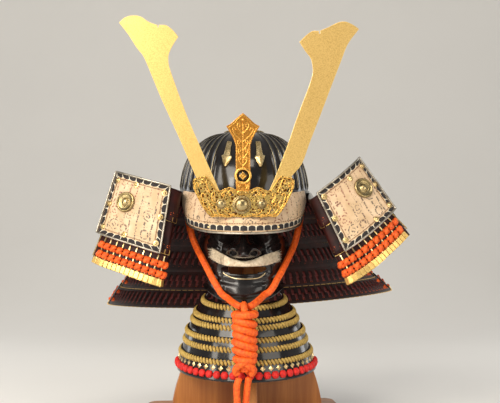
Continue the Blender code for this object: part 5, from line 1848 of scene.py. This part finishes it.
# %% Discs on the panels
DISC_PROFILE = metres([
    # (radius, height) from the middle of the button out over the ring and the rolled rim
    (0, 58), (24, 56), (46, 47), (62, 31), (70, 14), (76, 12), (84, 20), (92, 21), (128, 16), (136, 30),
    (148, 36), (159, 28), (168, 10), (164, 0), (0, 0),
])


def build_disc(side):
    """A ringed brass disc: a domed button, a broad flat ring round it and a rolled rim."""
    share, edge = DISC_SPOT[side]
    along, out = guard_frame(panel_station(side, share), edge)
    turn = Matrix((along, (-out).cross(along), -out)).transposed().to_4x4()
    place = Matrix.Translation(panel_point(side, share, edge, PANEL_FACE - 0.0008)) @ turn
    return outward(turned_piece("turnback_disc_ringed_" + side, DISC_PROFILE, 64, BRASS, place))


for side in ("left", "right"):
    as_part(build_disc(side), "aged_brass", "turnback_disc_" + side)
print("discs set")

# %% [markdown]
# ## Lacing on the hanging lames
#
# Each lame hangs from the one above on pairs of flat silk laces, and its lower edge is laced with
# a row of crossed knots over a gilt row of scale heads. Inside, the same laces are coloured dark red
# as painted shade, on red lacquer darkened as painted shade.

# %% Outer and inner lacing
LACE_PITCH = 0.0135
for number in range(1, NECK_LAMES + 1):
    turned = number <= TURNED_LAMES
    first, last = (12, len(STATIONS) - 13) if turned else (FIRST_WRAP, LAST_WRAP)
    lift = lame_face(number)
    if number > 1:
        laces = guard_rows((number - 0.8, number - 0.52), first, last, LACE_PITCH, lift - 0.0002)
        row_part("orange_cord", "outer_laces_%d" % number, FLAT_BRAID, laces, LACING_ORANGE, 0.0115)
    knots = guard_spots(number - 0.24, first, last, LACE_PITCH, lift - 0.0007)
    row_part("orange_cord", "outer_knots_%d" % number, KNOT_UNIT, knots, LACING_ORANGE, 0.008)
    heads = guard_spots(number - 0.07, first, last, 0.0125, lift - 0.0004, size=(1.0, 0.7, 0.8))
    row_part("gilt_matte", "outer_heads_%d" % number, SCALE_HEAD, heads, GILT_MATTE, 0.0118)
    first, last = (FIRST_WRAP - 14, LAST_WRAP + 14) if turned else (first + 1, last - 1)
    lift = INNER_LIFT[number] - 0.0003
    # The inner laces are coloured dark red as painted shade.
    inner = guard_rows((number - 0.42, number - 0.66), first, last, LACE_PITCH, lift, True, (1.0, 0.9, 0.7))
    row_part("orange_cord", "inner_laces_%d" % number, FLAT_BRAID, inner, LACING_SHADED_RED, 0.013)
print("laced lames", NECK_LAMES)

# %% Edge knots of the lower lames
for number in (4, 5):
    for side, at, step in (("left", FIRST_WRAP, 1), ("right", LAST_WRAP, -1)):
        knots = []
        for edge in (number - 0.72, number - 0.28):
            for k in (1.0, 4.6):
                along, out = guard_frame(at + step * k, edge)
                knots.append((lifted(at + step * k, edge, INNER_LIFT[number] - 0.0004), along, -out))
        row_part("orange_cord", "end_knots_%d_%s" % (number, side), KNOT_UNIT, knots, LACING_ORANGE, 0.0078)
print("end knots set")

# %% [markdown]
# ## The face mask
#
# The mask covers the face from under the eyes to the chin. It is hammered iron in thick black
# lacquer, with a strong nose, deep creases from the nose to the jaw, an open mouth and a
# broad chin. One formula gives its surface at a level and a share across, and fine creases,
# nostrils and lips are small swellings and hollows added to that formula.

# %% Mask surface
CREASES = metres([
    # (x, z) to (x, z) of each crease on one side, its half-width and its depth; mirrored
    (680, 3200, 360, 2990, 26, 18), (640, 3080, 420, 2920, 24, 14), (340, 3000, 520, 2640, 34, 22),
    (520, 2640, 460, 2380, 40, 18),
])
NOSE_WING = (0.0222, 0.2978, 0.0084, 0.0088, 0.018)
NOSTRIL = (0.0175, 0.2912, 0.0058, 0.0046, 0.0205)
NOSE_BRIDGE = [
    # (z, how far the narrow bridge stands out from the broad nose)
    (0.278, 0.0), (0.283, 0.004), (0.288, 0.01), (0.293, 0.0105), (0.2985, 0.0105), (0.308, 0.015),
    (0.319, 0.019), (0.33, 0.02),
]
BRIDGE_HALF = 0.0095
CHIN = (0.0, 0.241, 0.04, 0.0065, 0.003)


def swell(x, z, spot):
    """A soft round swelling: middle x, z, half-width, half-height and how far it stands out."""
    fall = ((abs(x) - spot[0]) / spot[2]) ** 2 + ((z - spot[1]) / spot[3]) ** 2
    return spot[4] * math.exp(-fall)


def crease_depth(x, z):
    across = abs(x)
    total = 0.0
    for x0, z0, x1, z1, half, depth in CREASES:
        run = Vector((x1 - x0, z1 - z0))
        share = min(max(((across - x0) * run.x + (z - z0) * run.y) / run.length_squared, 0.0), 1.0)
        off = Vector((across - x0 - run.x * share, z - z0 - run.y * share)).length / half
        fade = math.sin(math.pi * (0.08 + 0.84 * share)) ** 0.5
        total += depth * fade * (math.exp(-off * off) - 0.3 * math.exp(-(off - 2.2) ** 2))
    bridge = softly(NOSE_BRIDGE, min(max(z, 0.278), 0.33))[1] * math.exp(-(x / BRIDGE_HALF) ** 2)
    raised = swell(x, z, NOSE_WING) + bridge + swell(x, z, CHIN)
    return total - raised + swell(x, z, NOSTRIL)


def mask_skin(level, share):
    point = mask_point(level, share)
    if 0.0 < level < 14.6:
        point.y += crease_depth(point.x, point.z)
    return point


MASK_SHARES = [1.0, 0.985] + [0.96 - 0.0175 * i for i in range(110)] + [-0.985, -1.0]
MASK_LEVELS = [i / 6 for i in range(91)]
mask_grid = [[mask_skin(v, s) for s in MASK_SHARES] for v in MASK_LEVELS]
MOUTH_MIDDLE = 8.35
MOUTH_HALF = 0.68
MOUTH_SHARE = 0.5
mouth = set()
for r, pair in enumerate(zip(MASK_LEVELS, MASK_LEVELS[1:])):
    off = (sum(pair) / 2 - MOUTH_MIDDLE) / MOUTH_HALF
    reach = MOUTH_SHARE * math.sqrt(max(1 - off ** 2 * 0.9, 0.0))
    for c, shares in enumerate(zip(MASK_SHARES, MASK_SHARES[1:])):
        if abs(off) < 1 and abs(sum(shares)) / 2 < reach:
            mouth.add((r, c))
mask = sheet_piece("face_mask_lacquered", mask_grid, MASK_WALL, MASK_LACQUER, RED_LACQUER, skip=mouth)
as_part(outward(mask), "black_lacquer", "face_mask")
mask_tree = mesh_tree(mask)
print("mask faces", len(mask.data.polygons))

# %% [markdown]
# ## The moustache
#
# White animal hair is set along the upper lip, combed out and down to both sides from under the
# nose. A soft core gives it body; over it lie fifteen hundred separate strands, each a thin
# tapering tube with its own seeded length, bend and tilt.

# %% Moustache core
MOUSTACHE = metres([
    # (x, z at the middle, half-height, depth)
    (-545, 2900, 62, 40), (-470, 2868, 98, 65), (-380, 2820, 108, 85), (-270, 2778, 95, 90),
    (-150, 2748, 68, 85), (0, 2732, 55, 75), (150, 2748, 68, 85), (280, 2775, 95, 90), (400, 2805, 108, 85),
    (500, 2832, 95, 65), (580, 2850, 60, 40),
])


CORE_SIDES, CORE_ROWS = 16, 41
CORE_FROM, CORE_TO = -0.05, 0.0535


def moustache_ring(x, shrink):
    z, half, depth = softly(MOUSTACHE, x)[1:]
    back = min(front_y(mask_tree, x, z + half * k) or 0.0 for k in (-1.0, -0.5, 0.0, 0.5, 1.0))
    return [Vector((x, back - GAP - depth * 0.5 * shrink * (1 - math.cos(a)) + depth * 0.15,
                    z + half * shrink * math.sin(a))) for a in angles(CORE_SIDES)]


def build_moustache_core():
    points = []
    for i in range(CORE_ROWS):
        x = CORE_FROM + (CORE_TO - CORE_FROM) * i / (CORE_ROWS - 1)
        points += moustache_ring(x, 0.62 if i in (0, CORE_ROWS - 1) else 0.82)
    ends = [tuple(range(CORE_SIDES - 1, -1, -1)), tuple(range(len(points) - CORE_SIDES, len(points)))]
    return outward(mesh_piece("moustache_core", points, ring_faces(CORE_ROWS, CORE_SIDES) + ends, FUR))


HAIRS = 1500
HAIR_TAPER = (1.0, 1.0, 0.85, 0.6, 0.15)


def build_hairs(seed):
    """Separate strands over the core: from the middle outwards, curving down at their tips."""
    pick = random.Random(seed)
    points, faces = [], []
    for number in range(HAIRS):
        side = 1 if number % 2 else -1
        t = pick.random() ** 0.8
        x0 = side * (0.001 + (0.048 if side > 0 else 0.0445) * t)
        z_mid, half, depth = softly(MOUSTACHE, x0)[1:]
        round_at = pick.uniform(-1.0, 1.0)
        z0 = z_mid + half * 0.85 * round_at
        face = front_y(mask_tree, x0, z0) or -0.1
        bulge = math.sqrt(max(1 - round_at * round_at, 0.0)) * pick.uniform(0.75, 1.0)
        y0 = face - depth * (0.35 + 0.62 * bulge)
        reach = pick.uniform(0.008, 0.0145)
        fall = pick.uniform(-0.5, 0.6) - 0.4 * round_at
        route = []
        for k in range(5):
            s = k / 4
            x = x0 + side * reach * s
            z = softly(MOUSTACHE, x)[1] + (z0 - z_mid) * (1 - 0.25 * s) - fall * 0.005 * s * s
            face = front_y(mask_tree, x, z) or -0.1
            y = min(face - 0.0008, y0 + (face - 0.0012 - y0) * s * pick.uniform(0.45, 0.85))
            route.append(Vector((x, y, z)))
        first = len(points)
        thick = pick.uniform(0.00022, 0.0004)
        for place, share in zip(route, HAIR_TAPER):
            points += [place + Vector((0, math.cos(a), math.sin(a))) * thick * share for a in angles(3)]
        last = len(points) - 3
        faces += ring_faces(5, 3, first) + [(first + 2, first + 1, first), (last, last + 1, last + 2)]
    return outward(mesh_piece("moustache_hairs", points, faces, FUR))


moustache = joined("moustache_fur", [build_moustache_core(), build_hairs(11)])
as_part(moustache, "cream_fur", "moustache")
print("moustache faces", len(moustache.data.polygons))

# %% Lower lip, upper lip and teeth line
LIP_ROUTE = metres([
    # (x, z) seen from the front
    (-340, 2590), (-280, 2550), (-200, 2515), (-100, 2495), (0, 2490), (120, 2492), (230, 2505),
    (300, 2540), (350, 2585),
])
LIP_RADIUS = 0.0013
lip_places = [(x, resting_y(mask_tree, x, z, LIP_RADIUS * 0.6), z) for x, z in LIP_ROUTE]
lip_route = smooth_route(lip_places, 61)
lip_radii = [LIP_RADIUS * (0.55 + 0.45 * math.sin(math.pi * i / 60) ** 0.5) for i in range(61)]
lip = tube_piece("lip_gilt_line", lip_route, lip_radii, PALE_GILT, 12)
as_part(outward(lip), "lip_gilt", "lip_line")
print("lip length", round(route_length(lip_route) * 1000), "mm")
# %% [markdown]
# ## The throat guard
#
# Four bands hang one below the other under the mask and round the throat. On the real guard each
# is a row of lacquered scales: rows of ochre silk cross it like twisted cord, a row of little
# gilt lozenges is nailed above the hem, and the lowest row carries red silk balls.

# %% Throat surface
THROAT_WRAP = metres([
    # (z, half-width, half-depth)
    (887, 1080, 1110), (1230, 1000, 1030), (1570, 905, 940), (1870, 775, 830), (2090, 640, 740),
])
THROAT_LAMES = metres([
    # (top z, lower z)
    (2080, 1800), (1870, 1500), (1570, 1160), (1230, 887),
])
THROAT_X = 0.004
THROAT_Y = -0.037
THROAT_RISE = 0.01
THROAT_TURN = math.radians(108.0)
THROAT_WALL = 0.002


def throat_point(turn, z, lift):
    row = softly(THROAT_WRAP, z)
    x = (row[1] + lift) * math.sin(turn)
    y = -(row[2] + lift) * math.cos(turn)
    shift = THROAT_X * (1 - (z - THROAT_WRAP[0][0]) / 0.12)
    return Vector((shift + x, THROAT_Y + y, z + THROAT_RISE * (1 - math.cos(turn))))


def throat_lift(z):
    """How far the outermost lame stands off at a height."""
    for number in (4, 3, 2, 1):
        top, low = THROAT_LAMES[number - 1]
        if low - 0.0005 <= z <= top:
            return (number - 1) * (THROAT_WALL + 2 * GAP)
    return 0.0


def build_throat_lame(number):
    top, low = THROAT_LAMES[number - 1]
    lift = (number - 1) * (THROAT_WALL + 2 * GAP)
    turns = [THROAT_TURN - 2 * THROAT_TURN * i / 120 for i in range(121)]
    grid = [[throat_point(turn, top + (low - top) * k / 14, lift) for turn in turns] for k in range(15)]
    return sheet_piece("throat_band_%d" % number, grid, THROAT_WALL, LACQUER, RED_LACQUER)


for number in range(1, len(THROAT_LAMES) + 1):
    as_part(outward(build_throat_lame(number)), "black_lacquer", "throat_lame_%d" % number)
print("throat lames", len(THROAT_LAMES))

# %% Lacing rows, lozenges and silk balls
TWIST_ROWS = metres([2012, 1816, 1705, 1518, 1372, 1178])
LOZENGE_Z = 0.1088
BALL_Z = 0.0984


def throat_spots(z, pitch, lift):
    """Spots round the guard at an even pitch along the silk row."""
    fine = [-THROAT_TURN + 2 * THROAT_TURN * i / 400 for i in range(401)]
    stand_off = throat_lift(z)
    lengths = running_lengths([throat_point(t, z, stand_off) for t in fine])
    count = int(lengths[-1] / pitch)
    lead = (lengths[-1] - (count - 1) * pitch) / 2
    spots = []
    for j, share in found_at(lengths, [lead + k * pitch for k in range(count)]):
        turn = fine[j] + (fine[j + 1] - fine[j]) * share
        before, after = [throat_point(turn + step, z, stand_off) for step in (-0.01, 0.01)]
        along = (after - before).normalized()
        down = throat_point(turn, z + 0.003, 0.0) - throat_point(turn, z - 0.003, 0.0)
        out = along.cross(down).normalized()
        if out.dot(Vector((math.sin(turn), -math.cos(turn), 0))) < 0:
            out = -out
        spots.append((throat_point(turn, z, stand_off) + out * lift, along, out))
    return spots


def build_ball(name):
    """A tight silk ball, radius one, ribbed where the silk is wound."""
    profile = [(math.sin(math.pi * k / 7), math.cos(math.pi * k / 7)) for k in range(1, 7)]
    return turned_piece(name, [(0.0, 1.0)] + profile + [(0.0, -1.0)], 12, POMPON_RED,
                        wave=lambda a, r: 0.04 * math.cos(6 * a))


for number, z in enumerate(TWIST_ROWS):
    spots = throat_spots(z, 0.0064, -0.0003)
    row_part("orange_cord", "throat_twist_%d" % number, TWIST_UNIT, spots, LACING_OCHRE, 0.0122)
spots = throat_spots(LOZENGE_Z, 0.0136, -0.0002)
row_part("aged_brass", "throat_lozenges", LOZENGE_UNIT, spots, BRIGHT_BRASS, 0.0088)
BALL = unit_piece("silk_ball", build_ball)
spots = [(p, a, o, (1.0, 1.0, 0.75)) for p, a, o in throat_spots(BALL_Z, 0.0136, 0.001) if o.y < 0.1]
row_part("orange_cord", "throat_balls", BALL, spots, POMPON_RED, 0.0064)
print("silk balls", len(spots))

# %% [markdown]
# ## The stand
#
# The stand is two shaped boards, half-lapped into a cross, on a rounded base board. Their edges
# are eased with a small bevel. The grain runs up the boards and along the base, so the base has
# its own turn of the same wood.

# %% Stand boards
STAND_PLACE = Matrix.Translation((0.005, 0.0, 0.0)) @ Matrix.Rotation(math.radians(6.0), 4, "Z")
BOARD = 0.0145
BASE_SIZE = (0.33, 0.23, 0.018)
BASE_CORNER = 0.02
EASED, EASED_BASE = 0.0009, 0.002
LAP_Z = 0.25
STAND_TOP_Z = 0.4885
WING_OUTLINE = metres([
    # (half-width of the board across, half-width of the board fore and aft, z)
    (1285, 960, 0), (1270, 950, 300), (1210, 900, 600), (1120, 830, 880), (1000, 730, 1180),
    (820, 600, 1460), (600, 460, 1720), (400, 360, 1960), (330, 330, 2200), (320, 320, 3000),
    (330, 330, 4000), (360, 360, 4400), (430, 430, 4680), (360, 360, 4800), (240, 240, 4845),
])


def board_outline(column, slot_at_top):
    floor = BASE_SIZE[2] + GAP
    slot = BOARD / 2 + GAP
    table = [(row[2], row[column]) for row in WING_OUTLINE]
    levels = [0.0185 + (0.4845 - 0.0185) * k / 60 for k in range(61)]
    right = [(softly(table, z)[1], max(z, floor)) for z in levels]
    left = [(-x, z) for x, z in right[::-1]]
    if slot_at_top:
        prong = STAND_TOP_Z - 0.0018
        return right + [(slot, prong), (slot, LAP_Z - GAP), (-slot, LAP_Z - GAP), (-slot, prong)] + left
    slit = [(-slot, floor), (-slot, LAP_Z), (slot, LAP_Z), (slot, floor)]
    return right + [(0.0, STAND_TOP_Z)] + left + slit


def base_outline(width, depth, corner):
    out = []
    for cx, cy, start in ((1, 1, 0), (-1, 1, 90), (-1, -1, 180), (1, -1, 270)):
        for k in range(11):
            a = math.radians(start + 9 * k)
            out.append((cx * (width / 2 - corner) + corner * math.cos(a),
                        cy * (depth / 2 - corner) + corner * math.sin(a)))
    return out


quarter = Matrix.Rotation(math.pi / 2, 4, "Z")
width, depth, thick = BASE_SIZE
across = cut_sheet("board_across", [board_outline(0, False)], BOARD, WOOD, STAND_PLACE @ STANDING, EASED, 2)
as_part(across, "honey_wood", "stand_board_across")
fore_aft = cut_sheet("board_fore_aft", [board_outline(1, True)], BOARD, WOOD,
                     STAND_PLACE @ quarter @ STANDING, EASED, 2)
as_part(fore_aft, "honey_wood", "stand_board_fore_aft")
base = cut_sheet("base_board", [base_outline(width, depth, BASE_CORNER)], thick, WOOD_FLAT,
                 STAND_PLACE @ Matrix.Translation((0, 0, thick / 2)), EASED_BASE, 2)
as_part(base, "honey_wood", "stand_base")
print("stand boards", 3)

# %% Clear the units away, and measure
for unit in UNIT_PIECES:
    bpy.data.objects.remove(unit, do_unlink=True)
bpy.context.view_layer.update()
shown = [o for o in bpy.data.objects if o.type == "MESH" and not o.hide_render]
count = sum(len(p.vertices) - 2 for o in shown for p in o.data.polygons)
print("pieces", len(shown), "triangles", count)
